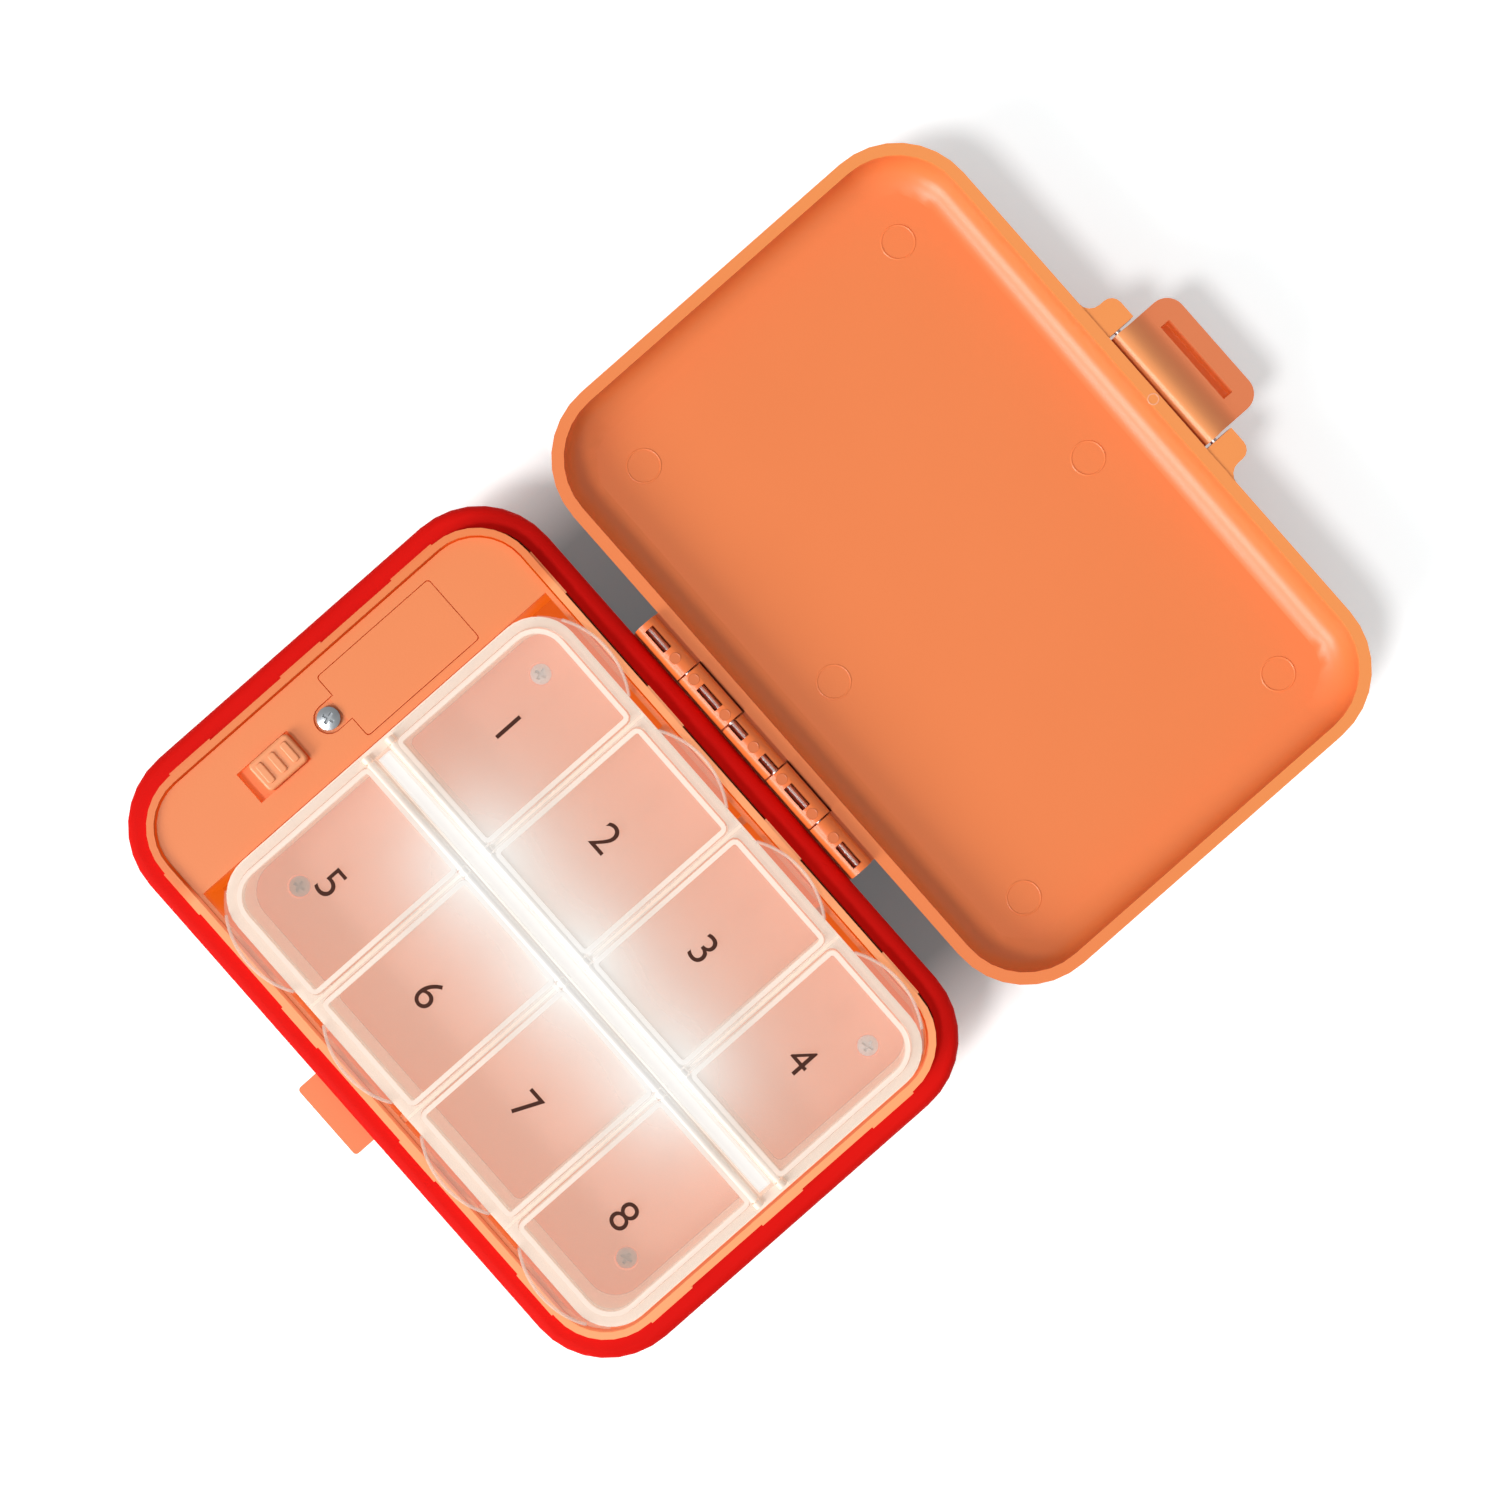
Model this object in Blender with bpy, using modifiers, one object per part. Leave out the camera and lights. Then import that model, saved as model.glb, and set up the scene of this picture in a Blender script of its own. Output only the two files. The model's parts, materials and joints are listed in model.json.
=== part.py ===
"""Light-up pill case, lying open: a deep base with a lift-out organizer, and a shallow hinged lid.

Metres, +Z up. The origin is the centre of the base's underside, +X runs across the hinge
towards the open lid, and +Y runs along the hinge towards the battery deck.
"""

import math

import bmesh
import bpy
from mathutils import Matrix, Vector

# Clearances
fit_gap = 0.0003
pin_clearance = 0.00015
overrun = 0.0010
embed = 0.0003

# Base shell
body_width = 0.0870
body_length = 0.1265
body_corner_radius = 0.0148
shell_inset = 0.0005
shell_wall = 0.0016
shell_draft = 0.0016
shell_bottom_round = 0.0050
ledge_thickness = 0.0016

# Seal band and lip
seal_top_z = 0.0205
seal_height = 0.0032
seal_width = 0.0037
seal_edge_round = 0.0016
lip_rise = 0.0029
lip_thickness = 0.0012

# Snap beads on the lip
bead_length = 0.0087
bead_height = 0.0016
bead_depth = 0.00035
end_bead_margin = 0.00035
end_bead_count = 3
side_bead_margin = 0.0006
side_bead_count = 4

# Catch tab
tab_width = 0.0146
tab_thickness = 0.0013
tab_reach = 0.0045

# Hinge
pin_offset = 0.0025
pin_radius = 0.0006
pin_end_wall = 0.0008
knuckle_count = 5
knuckle_pitch = 0.0108
knuckle_half_height = 0.0022
knuckle_reach_in = 0.0021
knuckle_reach_out = 0.0022
base_knuckle_reach_out = 0.0025
knuckle_round = 0.0017
window_width = 0.0017
window_length = 0.0046
window_depth = 0.0013
hinge_leg_height = 0.0030
apron_height = 0.0013
apron_drop = 0.0021
apron_reach = 0.0031
lid_hinge_gap = 0.00285

# Lid
lid_far_inset = 0.00135
lid_side_inset = 0.0009
lid_corner_radius = 0.0144
lid_depth = 0.0088
lid_wall = 0.00205
lid_roof = 0.0019
lid_inner_round = 0.0049
lid_outer_round = 0.0062

# Latch
latch_offset_y = -0.0003
latch_axis_reach = 0.00205
latch_axis_drop = 0.0020
latch_barrel_radius = 0.00175
latch_width = 0.0233
latch_length = 0.0111
latch_corner_radius = 0.0033
latch_plate_drop = 0.0004
latch_plate_thickness = 0.0042
latch_skin = 0.0006
latch_edge_round = 0.0012
slot_distance = 0.0069
slot_width = 0.0019
slot_side_gap = 0.0006
ear_gap = 0.0005
ear_width = 0.0051
ear_reach = 0.0033
ear_round = 0.0020
ear_flare = 0.0024
ear_thickness = 0.0038
ear_drop = 0.0002
latch_pin_end_wall = 0.0012

# Inner frame
frame_wall = 0.0008
deck_drop = 0.0009
deck_length = 0.0164
deck_thickness = 0.0020
deck_wall = 0.0012
frame_floor_z = 0.0054
frame_floor_thickness = 0.0014
rib_thickness = 0.0014
rib_drop = 0.0002
rib_pitch = 0.0195
rib_count = 3

# Frame screws
screw_inset_x = 0.0100
screw_inset_deck = 0.0083
screw_inset_far = 0.0062
screw_head_radius = 0.0018
screw_head_height = 0.0012
screw_shank_radius = 0.0011
screw_boss_wall = 0.0010
screw_seat_depth = 0.0016
screw_tip_gap = 0.0003
cross_length = 0.0021
cross_width = 0.0005
cross_depth = 0.0006
cross_turn = 17.0

# Button cells and their bay
cell_diameter = 0.0116
cell_thickness = 0.0054
cell_gap = 0.0003
cell_clearance = 0.00015
bay_share = 0.66
bay_drop = 0.0003
bay_floor_thickness = 0.0010
bay_wall = 0.0010
contact_thickness = 0.0003
contact_width = 0.0060
link_thickness = 0.00025
link_width = 0.0040
link_length = 0.0180

# Battery door
door_thickness = 0.0010
door_ledge_x = 0.00015
door_ledge_y = 0.00035
door_gap = 0.00015
door_corner_radius = 0.0006
tongue_reach = 0.0030
tongue_radius = 0.0024
tongue_drop = 0.0004
door_screw_head_radius = 0.00195
door_screw_head_height = 0.0009
door_screw_shank_radius = 0.0009
door_screw_length = 0.0040

# Slide switch
switch_gap = 0.00408
knob_length = 0.0083
knob_width = 0.0058
knob_rise = 0.0015
knob_corner_radius = 0.0008
knob_edge_round = 0.0004
knob_travel = 0.0022
switch_side_gap = 0.0002
recess_depth = 0.0014
recess_floor = 0.0007
knob_rib_count = 3
knob_rib_pitch = 0.0026
knob_rib_width = 0.0013
knob_rib_length = 0.0039
knob_rib_height = 0.0004
stem_length = 0.0016
stem_width = 0.0014
stem_depth = 0.0018
switch_body_length = 0.0086
switch_body_width = 0.0040
switch_body_height = 0.0036

# Organizer tray
row_count = 4
tray_side_gap = 0.00095
tray_end_gap = 0.0006
tray_flange_overhang = 0.0008
tray_flange_thickness = 0.0009
tray_corner_radius = 0.0076
tray_wall = 0.0009
tray_floor = 0.0011
compartment_corner_radius = 0.0015
compartment_floor_round = 0.0010
spine_slot_width = 0.0030
spine_wall = 0.0012

# Flip lids and their hinges
lid_plate_thickness = 0.0009
flip_side_gap = 0.0005
flip_axis_x = 0.0025
flip_barrel_radius = 0.00075
flip_stub_radius = 0.0004
flip_stub_length = 0.0008
flip_ear_width = 0.0011
flip_plate_start = 0.0011
flip_edge_inset = 0.0003
skirt_width = 0.0008
skirt_depth = 0.0014
bead_rise = 0.0004
thumb_tab_reach = 0.00295
thumb_tab_radius = 0.0153
thumb_tab_inset = 0.0001

# Light
bar_side_gap = 0.0003
bar_end_gap = 0.0006
board_width = 0.0070
board_thickness = 0.0010
board_margin = 0.0050
led_width = 0.0016
led_length = 0.0022
led_height = 0.0010
led_hole_gap = 0.0004
wire_radius = 0.00035

# Roundness
corner_steps = 8
edge_steps = 4
fine_steps = 3
rod_sides = 16
barrel_sides = 12
stub_sides = 8
tab_steps = 16

ALL_CORNERS = ((-1, -1), (-1, 1), (1, -1), (1, 1))
level_tolerance = 0.000001

# Derived levels
ledge_z = seal_top_z - seal_height - fit_gap
lip_top_z = seal_top_z + lip_rise
deck_z = lip_top_z - deck_drop
deck_under_z = deck_z - deck_thickness
frame_floor_top_z = frame_floor_z + frame_floor_thickness
tray_bottom_z = frame_floor_top_z + fit_gap
flange_bottom_z = deck_z + fit_gap
flange_top_z = flange_bottom_z + tray_flange_thickness
pin_z = seal_top_z + fit_gap / 2
rim_z = seal_top_z

# Derived outlines, as half sizes
body_half = Vector((body_width / 2, body_length / 2))
shell_half = body_half - Vector((shell_inset, shell_inset))
lip_half = body_half - Vector((seal_width + fit_gap, seal_width + fit_gap))
lip_radius = body_corner_radius - seal_width - fit_gap
lip_inner_half = lip_half - Vector((lip_thickness, lip_thickness))
lip_inner_radius = lip_radius - lip_thickness
frame_half = lip_inner_half - Vector((fit_gap, fit_gap))
frame_radius = lip_inner_radius - fit_gap
pocket_half_x = frame_half.x - frame_wall
pocket_low_y = -frame_half.y + frame_wall
pocket_high_y = frame_half.y - deck_length
pocket_middle_y = (pocket_low_y + pocket_high_y) / 2

# Derived hinge and lid places
pin_x = body_half.x + pin_offset
hinge_half_y = knuckle_count * knuckle_pitch / 2
pin_half_y = hinge_half_y - pin_end_wall
lid_near_x = pin_x + lid_hinge_gap
lid_width = pin_x - lid_hinge_gap + body_half.x - lid_far_inset
lid_centre_x = lid_near_x + lid_width / 2
lid_far_x = lid_near_x + lid_width
lid_half_y = body_half.y - lid_side_inset
latch_x = lid_far_x + latch_axis_reach
latch_z = rim_z - latch_axis_drop
closed_latch_x = 2 * pin_x - latch_x
closed_latch_z = 2 * pin_z - latch_z
ear_inner_y = latch_width / 2 + ear_gap

# Derived tray places
tray_half_x = pocket_half_x - tray_side_gap
tray_low_y = -lip_inner_half.y + tray_end_gap
tray_high_y = pocket_high_y - fit_gap
inner_low_y = tray_low_y + tray_flange_overhang + tray_wall
inner_high_y = tray_high_y - tray_flange_overhang - tray_wall
row_pitch = (inner_high_y - inner_low_y + tray_wall) / row_count
row_length = row_pitch - tray_wall
inner_near_x = spine_slot_width / 2 + spine_wall
inner_far_x = tray_half_x - tray_flange_overhang - tray_wall
tray_inner_radius = tray_corner_radius - tray_flange_overhang - tray_wall
flip_plate_z = flange_top_z + fit_gap
flip_axis_z = flip_plate_z + flip_barrel_radius
spine_low_y = inner_low_y
spine_high_y = inner_high_y

case = bpy.data.collections.new("light_up_pill_case")
cutters = bpy.data.collections.new("cutters")


def row_centre(row):
    """Middle of a compartment row along Y, counted from the battery deck."""
    return inner_high_y - row_length / 2 - row * row_pitch


def tray_corners(side, row):
    """The corner of a compartment that lies in a corner of the tray, as a tuple of none or one."""
    return {0: ((side, 1),), row_count - 1: ((side, -1),)}.get(row, ())


def row_boundary(index):
    """Middle of the wall before a row, or of the wall after the last one."""
    return inner_high_y + tray_wall / 2 - index * row_pitch


def plastic(name, colour, roughness, metallic=0.0, alpha=1.0):
    """A Principled material."""
    surface = bpy.data.materials.new(name)
    surface.use_nodes = True
    shader = surface.node_tree.nodes["Principled BSDF"]
    shader.inputs["Base Color"].default_value = (*colour, 1.0)
    shader.inputs["Roughness"].default_value = roughness
    shader.inputs["Metallic"].default_value = metallic
    shader.inputs["Alpha"].default_value = alpha
    surface.diffuse_color = (*colour, alpha)
    return surface


def tool_object(name, bm):
    """An object for a finished bmesh, kept as a cutter until it is made a part."""
    bmesh.ops.recalc_face_normals(bm, faces=bm.faces)
    mesh = bpy.data.meshes.new(name)
    bm.to_mesh(mesh)
    bm.free()
    result = bpy.data.objects.new(name, mesh)
    cutters.objects.link(result)
    result.hide_render = True
    result.display_type = "WIRE"
    return result


def at_level(edge, axis, level):
    """Whether both ends of an edge lie at a level."""
    return all(abs(vert.co[axis] - level) < level_tolerance for vert in edge.verts)


def block(name, low, high, axis=2, radius=0.0, corners=ALL_CORNERS, steps=corner_steps,
          wide_radius=0.0, wide_corners=(), low_round=0.0, high_round=0.0,
          round_steps=edge_steps, narrowing=0.0):
    """A box between two corners, with the edges along one axis and round its two ends rounded.

    Some of the edges along the axis can have a wider rounding than the others. The end at the
    low side can be narrowed all round, which gives a moulding its draft.
    """
    bm = bmesh.new()
    bmesh.ops.create_cube(bm, size=1.0)
    others = [k for k in range(3) if k != axis]
    for vert in bm.verts:
        at_low_end = vert.co[axis] < 0
        for k in range(3):
            vert.co[k] = high[k] if vert.co[k] > 0 else low[k]
        if at_low_end:
            for k in others:
                inward = 1 if vert.co[k] < (low[k] + high[k]) / 2 else -1
                vert.co[k] += inward * narrowing
    wide_edges = []
    narrow_edges = []
    for edge in bm.edges:
        start, end = (vert.co for vert in edge.verts)
        if abs(start[axis] - end[axis]) < (high[axis] - low[axis]) / 2:
            continue
        corner = tuple(1 if start[k] > (low[k] + high[k]) / 2 else -1 for k in others)
        if corner in wide_corners:
            wide_edges.append(edge)
        elif corner in corners:
            narrow_edges.append(edge)
    for chosen, width, segments in ((wide_edges, wide_radius, corner_steps),
                                    (narrow_edges, radius, steps)):
        if chosen and width:
            bmesh.ops.bevel(bm, geom=chosen, offset=width, offset_type="OFFSET",
                            segments=segments, profile=0.5, affect="EDGES")
    for level, width in ((low[axis], low_round), (high[axis], high_round)):
        if width:
            chosen = [edge for edge in bm.edges if at_level(edge, axis, level)]
            bmesh.ops.bevel(bm, geom=chosen, offset=width, offset_type="OFFSET",
                            segments=round_steps, profile=0.5, affect="EDGES")
    return tool_object(name, bm)


def rod(name, centre, radius, length, axis=2, sides=rod_sides):
    """A cylinder centred on a point, along one axis."""
    bm = bmesh.new()
    bmesh.ops.create_cone(bm, cap_ends=True, segments=sides, radius1=radius, radius2=radius,
                          depth=length)
    turn = {0: Matrix.Rotation(math.pi / 2, 4, "Y"),
            1: Matrix.Rotation(math.pi / 2, 4, "X"),
            2: Matrix.Identity(4)}[axis]
    bmesh.ops.transform(bm, matrix=Matrix.Translation(centre) @ turn, verts=bm.verts)
    return tool_object(name, bm)


def outline_plate(name, outline, low_z, high_z):
    """A flat outline given as XY points, extruded between two levels, as a welded mesh."""
    curve = bpy.data.curves.new(name, "CURVE")
    curve.dimensions = "2D"
    curve.fill_mode = "BOTH"
    curve.extrude = (high_z - low_z) / 2
    spline = curve.splines.new("POLY")
    spline.points.add(len(outline) - 1)
    for point, place in zip(spline.points, outline):
        point.co = (place[0], place[1], 0, 1)
    spline.use_cyclic_u = True
    guide = bpy.data.objects.new(name, curve)
    cutters.objects.link(guide)
    guide.location.z = (low_z + high_z) / 2
    bpy.context.view_layer.update()
    evaluated = guide.evaluated_get(bpy.context.evaluated_depsgraph_get())
    mesh = bpy.data.meshes.new_from_object(evaluated)
    mesh.transform(guide.matrix_world)
    bpy.data.objects.remove(guide)
    bm = bmesh.new()
    bm.from_mesh(mesh)
    bmesh.ops.remove_doubles(bm, verts=bm.verts, dist=level_tolerance)
    return tool_object(name, bm)


def gathered(name, objects):
    """Separate tools as one object."""
    bm = bmesh.new()
    for piece in objects:
        bm.from_mesh(piece.data)
        bpy.data.objects.remove(piece)
    return tool_object(name, bm)


def add_boolean(target, operation, tools):
    for tool in tools:
        modifier = target.modifiers.new(tool.name, "BOOLEAN")
        modifier.operation = operation
        modifier.solver = "EXACT"
        modifier.object = tool


def join(target, *tools):
    add_boolean(target, "UNION", tools)


def cut(target, *tools):
    add_boolean(target, "DIFFERENCE", tools)


def make_part(piece, surface, joint=None):
    """Move a shape from the cutters to the case, with its finish and the joint it rides on."""
    cutters.objects.unlink(piece)
    case.objects.link(piece)
    piece.hide_render = False
    piece.display_type = "TEXTURED"
    piece.data.materials.clear()
    piece.data.materials.append(surface)
    piece.data.shade_smooth()
    piece.data.set_sharp_from_angle(angle=math.radians(30))
    if joint:
        ride(piece, joint)
    return piece


def ride(piece, joint):
    """Parent a piece, with the tools that shape it, to the empty on its joint's axis."""
    tools = [modifier.object for modifier in piece.modifiers if modifier.type == "BOOLEAN"]
    for follower in [piece, *tools]:
        follower.parent = joint
        follower.matrix_parent_inverse = Matrix.Translation(-Vector(joint.location))


def joint_empty(name, place):
    empty = bpy.data.objects.new(name, None)
    empty.location = place
    empty.empty_display_size = knuckle_pitch
    case.objects.link(empty)
    return empty


def turned_screw(name, x, y, seat_z, head_radius, head_height, shank_radius, tip_z, surface):
    """A pan-head screw, turned from a profile, with a cross recess."""
    top_z = seat_z + head_height
    crown = head_height / 3
    profile = [(0, top_z), (head_radius * 0.6, top_z - crown / 4), (head_radius, top_z - crown),
               (head_radius, seat_z), (shank_radius, seat_z), (shank_radius, tip_z + shank_radius),
               (shank_radius / 2, tip_z), (0, tip_z)]
    mesh = bpy.data.meshes.new(name)
    points = [(radius, 0, z) for radius, z in profile]
    mesh.from_pydata(points, [(k, k + 1) for k in range(len(points) - 1)], [])
    piece = bpy.data.objects.new(name, mesh)
    cutters.objects.link(piece)
    piece.location = (x, y, 0)
    turn = piece.modifiers.new("turn", "SCREW")
    turn.steps = rod_sides
    turn.render_steps = rod_sides
    turn.use_merge_vertices = True
    turn.merge_threshold = level_tolerance
    turn.use_normal_calculate = True
    turn.use_normal_flip = True
    cut(piece, cross_recess(name + "_recess", x, y, top_z))
    return make_part(piece, surface)


def cross_recess(name, x, y, top_z):
    """A plus-shaped tool for a screw's drive."""
    long_half = cross_length / 2
    short_half = cross_width / 2
    quarter = [(long_half, -short_half), (long_half, short_half), (short_half, short_half)]
    outline = []
    for turn in range(4):
        angle = turn * math.pi / 2 + math.radians(cross_turn)
        for px, py in quarter:
            outline.append((x + px * math.cos(angle) - py * math.sin(angle),
                            y + px * math.sin(angle) + py * math.cos(angle)))
    return outline_plate(name, outline, top_z - cross_depth, top_z + overrun)


def arc(centre, radius, start, end, steps):
    """Points along a circle between two angles in degrees."""
    points = []
    for k in range(steps + 1):
        angle = math.radians(start + (end - start) * k / steps)
        points.append((centre[0] + radius * math.cos(angle), centre[1] + radius * math.sin(angle)))
    return points


def knuckle_span(index):
    """Low and high Y of a hinge knuckle, with its running gap, counted from +Y."""
    high = hinge_half_y - index * knuckle_pitch
    return high - knuckle_pitch + fit_gap / 2, high - fit_gap / 2


def knuckle(name, index, reach_out):
    low_y, high_y = knuckle_span(index)
    return block(name, (pin_x - knuckle_reach_in, low_y, pin_z - knuckle_half_height),
                 (pin_x + reach_out, high_y, pin_z + knuckle_half_height),
                 axis=1, radius=knuckle_round, steps=fine_steps)


def knuckle_windows(name, index):
    """Slots in a knuckle's top that show the pin: at the outer end, in the middle or at both ends."""
    low_y, high_y = knuckle_span(index)
    middle = (low_y + high_y) / 2
    end_room = pin_end_wall + fit_gap
    spans = {0: [(high_y - end_room - window_length, high_y - end_room)],
             1: [(middle - window_length / 2, middle + window_length / 2)],
             2: [(low_y - overrun, low_y + window_length * 0.7),
                 (high_y - window_length * 0.7, high_y + overrun)],
             3: [(middle - window_length / 2, middle + window_length / 2)],
             4: [(low_y + end_room, low_y + end_room + window_length)]}[index]
    slots = []
    for number, (start, end) in enumerate(spans):
        slots.append(block(f"{name}_{number}", (pin_x - window_width / 2, start, pin_z - window_depth),
                           (pin_x + window_width / 2, end, pin_z + knuckle_half_height + overrun)))
    return gathered(name, slots)


def pin_bore(name):
    return rod(name, (pin_x, 0, pin_z), pin_radius + pin_clearance,
               2 * (pin_half_y + pin_clearance), axis=1)


def ring(name, outer_low, outer_high, outer_radius, inner_low, inner_high, inner_radius, **rounding):
    """A block with a block-shaped hole right through along Z."""
    outer = block(name, outer_low, outer_high, radius=outer_radius, **rounding)
    hole = block(name + "_hole", (*inner_low[:2], outer_low[2] - overrun),
                 (*inner_high[:2], outer_high[2] + overrun), radius=inner_radius)
    cut(outer, hole)
    return outer


def lip_beads():
    """Small snap beads on the lip's outer face, above the seal."""
    low_z = lip_top_z - bead_height - bead_depth
    high_z = lip_top_z - bead_depth
    half = bead_length / 2
    straight_half = lip_half - Vector((lip_radius, lip_radius))
    end_bead_pitch = 2 * (straight_half.x - end_bead_margin - half) / (end_bead_count - 1)
    side_bead_pitch = 2 * (straight_half.y - side_bead_margin - half) / (side_bead_count - 1)
    beads = []
    for side in (-1, 1):
        for k in range(end_bead_count):
            x = (k - (end_bead_count - 1) / 2) * end_bead_pitch
            y = sorted((side * (lip_half.y - embed), side * (lip_half.y + bead_depth)))
            beads.append(block("end_bead", (x - half, y[0], low_z), (x + half, y[1], high_z)))
        for k in range(side_bead_count):
            y = (k - (side_bead_count - 1) / 2) * side_bead_pitch
            x = sorted((side * (lip_half.x - embed), side * (lip_half.x + bead_depth)))
            beads.append(block("side_bead", (x[0], y - half, low_z), (x[1], y + half, high_z)))
    return gathered("lip_beads", beads)


def screw_places():
    """Centres of the frame screws."""
    places = []
    for x in (-pocket_half_x + screw_inset_x, pocket_half_x - screw_inset_x):
        for y in (pocket_high_y - screw_inset_deck, pocket_low_y + screw_inset_far):
            places.append((x, y))
    return places


def make_base_shell(surface):
    shell = block("base_shell", (-shell_half.x, -shell_half.y, 0), (*shell_half, ledge_z),
                  radius=body_corner_radius - shell_inset, low_round=shell_bottom_round,
                  narrowing=shell_draft)
    lip = block("lip", (-lip_half.x, -lip_half.y, ledge_z - ledge_thickness / 2),
                (*lip_half, lip_top_z), radius=lip_radius)
    join(shell, lip, lip_beads())
    inner = shell_half - Vector((shell_wall, shell_wall))
    hollow = block("shell_hollow", (-inner.x, -inner.y, shell_wall),
                   (*inner, ledge_z - ledge_thickness),
                   radius=body_corner_radius - shell_inset - shell_wall,
                   low_round=shell_bottom_round - shell_wall, narrowing=shell_draft)
    mouth = block("shell_mouth", (-lip_inner_half.x, -lip_inner_half.y, ledge_z - 2 * ledge_thickness),
                  (*lip_inner_half, lip_top_z + overrun), radius=lip_inner_radius)
    cut(shell, hollow, mouth)

    tab_z = closed_latch_z - slot_distance
    tab = block("catch_tab", (-body_half.x - tab_reach, -tab_width / 2, tab_z - tab_thickness / 2),
                (-shell_half.x + shell_wall / 2, tab_width / 2, tab_z + tab_thickness / 2),
                radius=tab_thickness / 2, corners=((-1, -1), (-1, 1)), steps=fine_steps)
    join(shell, tab)

    wall_x = shell_half.x - shell_wall / 2
    stop_x = pin_x + base_knuckle_reach_out
    bracket = block("hinge_bracket", (wall_x, -hinge_half_y, ledge_z - hinge_leg_height),
                    (stop_x, hinge_half_y, ledge_z))
    apron = block("hinge_apron", (wall_x, -hinge_half_y, ledge_z - apron_drop - apron_height),
                  (pin_x + apron_reach, hinge_half_y, ledge_z - apron_drop))
    stop_top_z = pin_z - knuckle_half_height - fit_gap
    stop = block("hinge_stop", (pin_x - knuckle_reach_in, -hinge_half_y, ledge_z - embed),
                 (stop_x, hinge_half_y, stop_top_z))
    join(shell, bracket, apron, stop)
    for index in (1, 3):
        low_y, high_y = knuckle_span(index)
        leg = block(f"base_leg_{index}", (pin_x - knuckle_reach_in, low_y, stop_top_z - embed),
                    (pin_x + base_knuckle_reach_out, high_y, pin_z - embed))
        join(shell, knuckle(f"base_knuckle_{index}", index, base_knuckle_reach_out), leg)
    cut(shell, pin_bore("base_pin_bore"))
    for index in (1, 3):
        cut(shell, knuckle_windows(f"base_window_{index}", index))

    boss_top_z = frame_floor_top_z - screw_seat_depth - screw_boss_wall - fit_gap
    bosses = []
    holes = []
    hole_radius = screw_shank_radius + fit_gap
    for x, y in screw_places():
        bosses.append(rod("shell_boss", (x, y, (shell_wall - embed + boss_top_z) / 2),
                          hole_radius + screw_boss_wall, boss_top_z - shell_wall + embed))
        holes.append(rod("shell_screw_hole", (x, y, (shell_wall + boss_top_z + overrun) / 2),
                         hole_radius, boss_top_z + overrun - shell_wall))
    join(shell, gathered("shell_bosses", bosses))
    cut(shell, gathered("shell_screw_holes", holes))
    return make_part(shell, surface)


def make_seal_band(surface):
    inner = lip_half + Vector((fit_gap, fit_gap))
    band = ring("seal_band", (-body_half.x, -body_half.y, seal_top_z - seal_height),
                (*body_half, seal_top_z), body_corner_radius,
                (-inner.x, -inner.y), inner, lip_radius + fit_gap,
                high_round=seal_edge_round)
    return make_part(band, surface)


def door_place():
    """Centre of the battery door and of the cells."""
    return Vector((frame_half.x * (2 * bay_share - 1), frame_half.y - deck_length / 2 - bay_drop))


def bay_half():
    """Half size of the pocket for the two cells."""
    return Vector((cell_diameter + cell_gap / 2 + cell_clearance, cell_diameter / 2 + cell_clearance))


def door_half():
    return bay_half() + Vector((door_ledge_x, door_ledge_y))


def door_shape(name, grow, low_z, high_z):
    """The door's plan with its screw tongue, grown by a gap, between two levels."""
    centre = door_place()
    half = door_half() + Vector((grow, grow))
    plate = block(name, (centre.x - half.x, centre.y - half.y, low_z),
                  (centre.x + half.x, centre.y + half.y, high_z), radius=door_corner_radius,
                  steps=fine_steps)
    radius = tongue_radius + grow
    screw_x = tongue_screw_x()
    tongue = block(name + "_tongue", (screw_x - radius, centre.y - radius, low_z),
                   (centre.x - half.x + embed, centre.y + radius, high_z), radius=radius,
                   corners=((-1, -1), (-1, 1)))
    join(plate, tongue)
    return plate


def tongue_screw_x():
    return door_place().x - door_half().x - tongue_reach


def cell_levels():
    """Bottom and top of the cells, the link above them and the contacts below."""
    door_bottom = deck_z - door_thickness
    link_top = door_bottom - fit_gap
    cell_top = link_top - link_thickness - fit_gap
    cell_bottom = cell_top - cell_thickness
    contact_top = cell_bottom - fit_gap
    bay_floor_z = contact_top - contact_thickness - fit_gap
    return {"link": link_top, "top": cell_top, "bottom": cell_bottom,
            "contact": contact_top, "floor": bay_floor_z}


def recess_half():
    """Half size of the recess that the switch's knob slides in."""
    return Vector(((knob_length + knob_travel) / 2 + switch_side_gap, knob_width / 2 + switch_side_gap))


def switch_place():
    """Centre of the switch's recess, beside the battery door's tongue."""
    return Vector((tongue_screw_x() - tongue_radius - switch_gap - recess_half().x, door_place().y))


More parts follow.
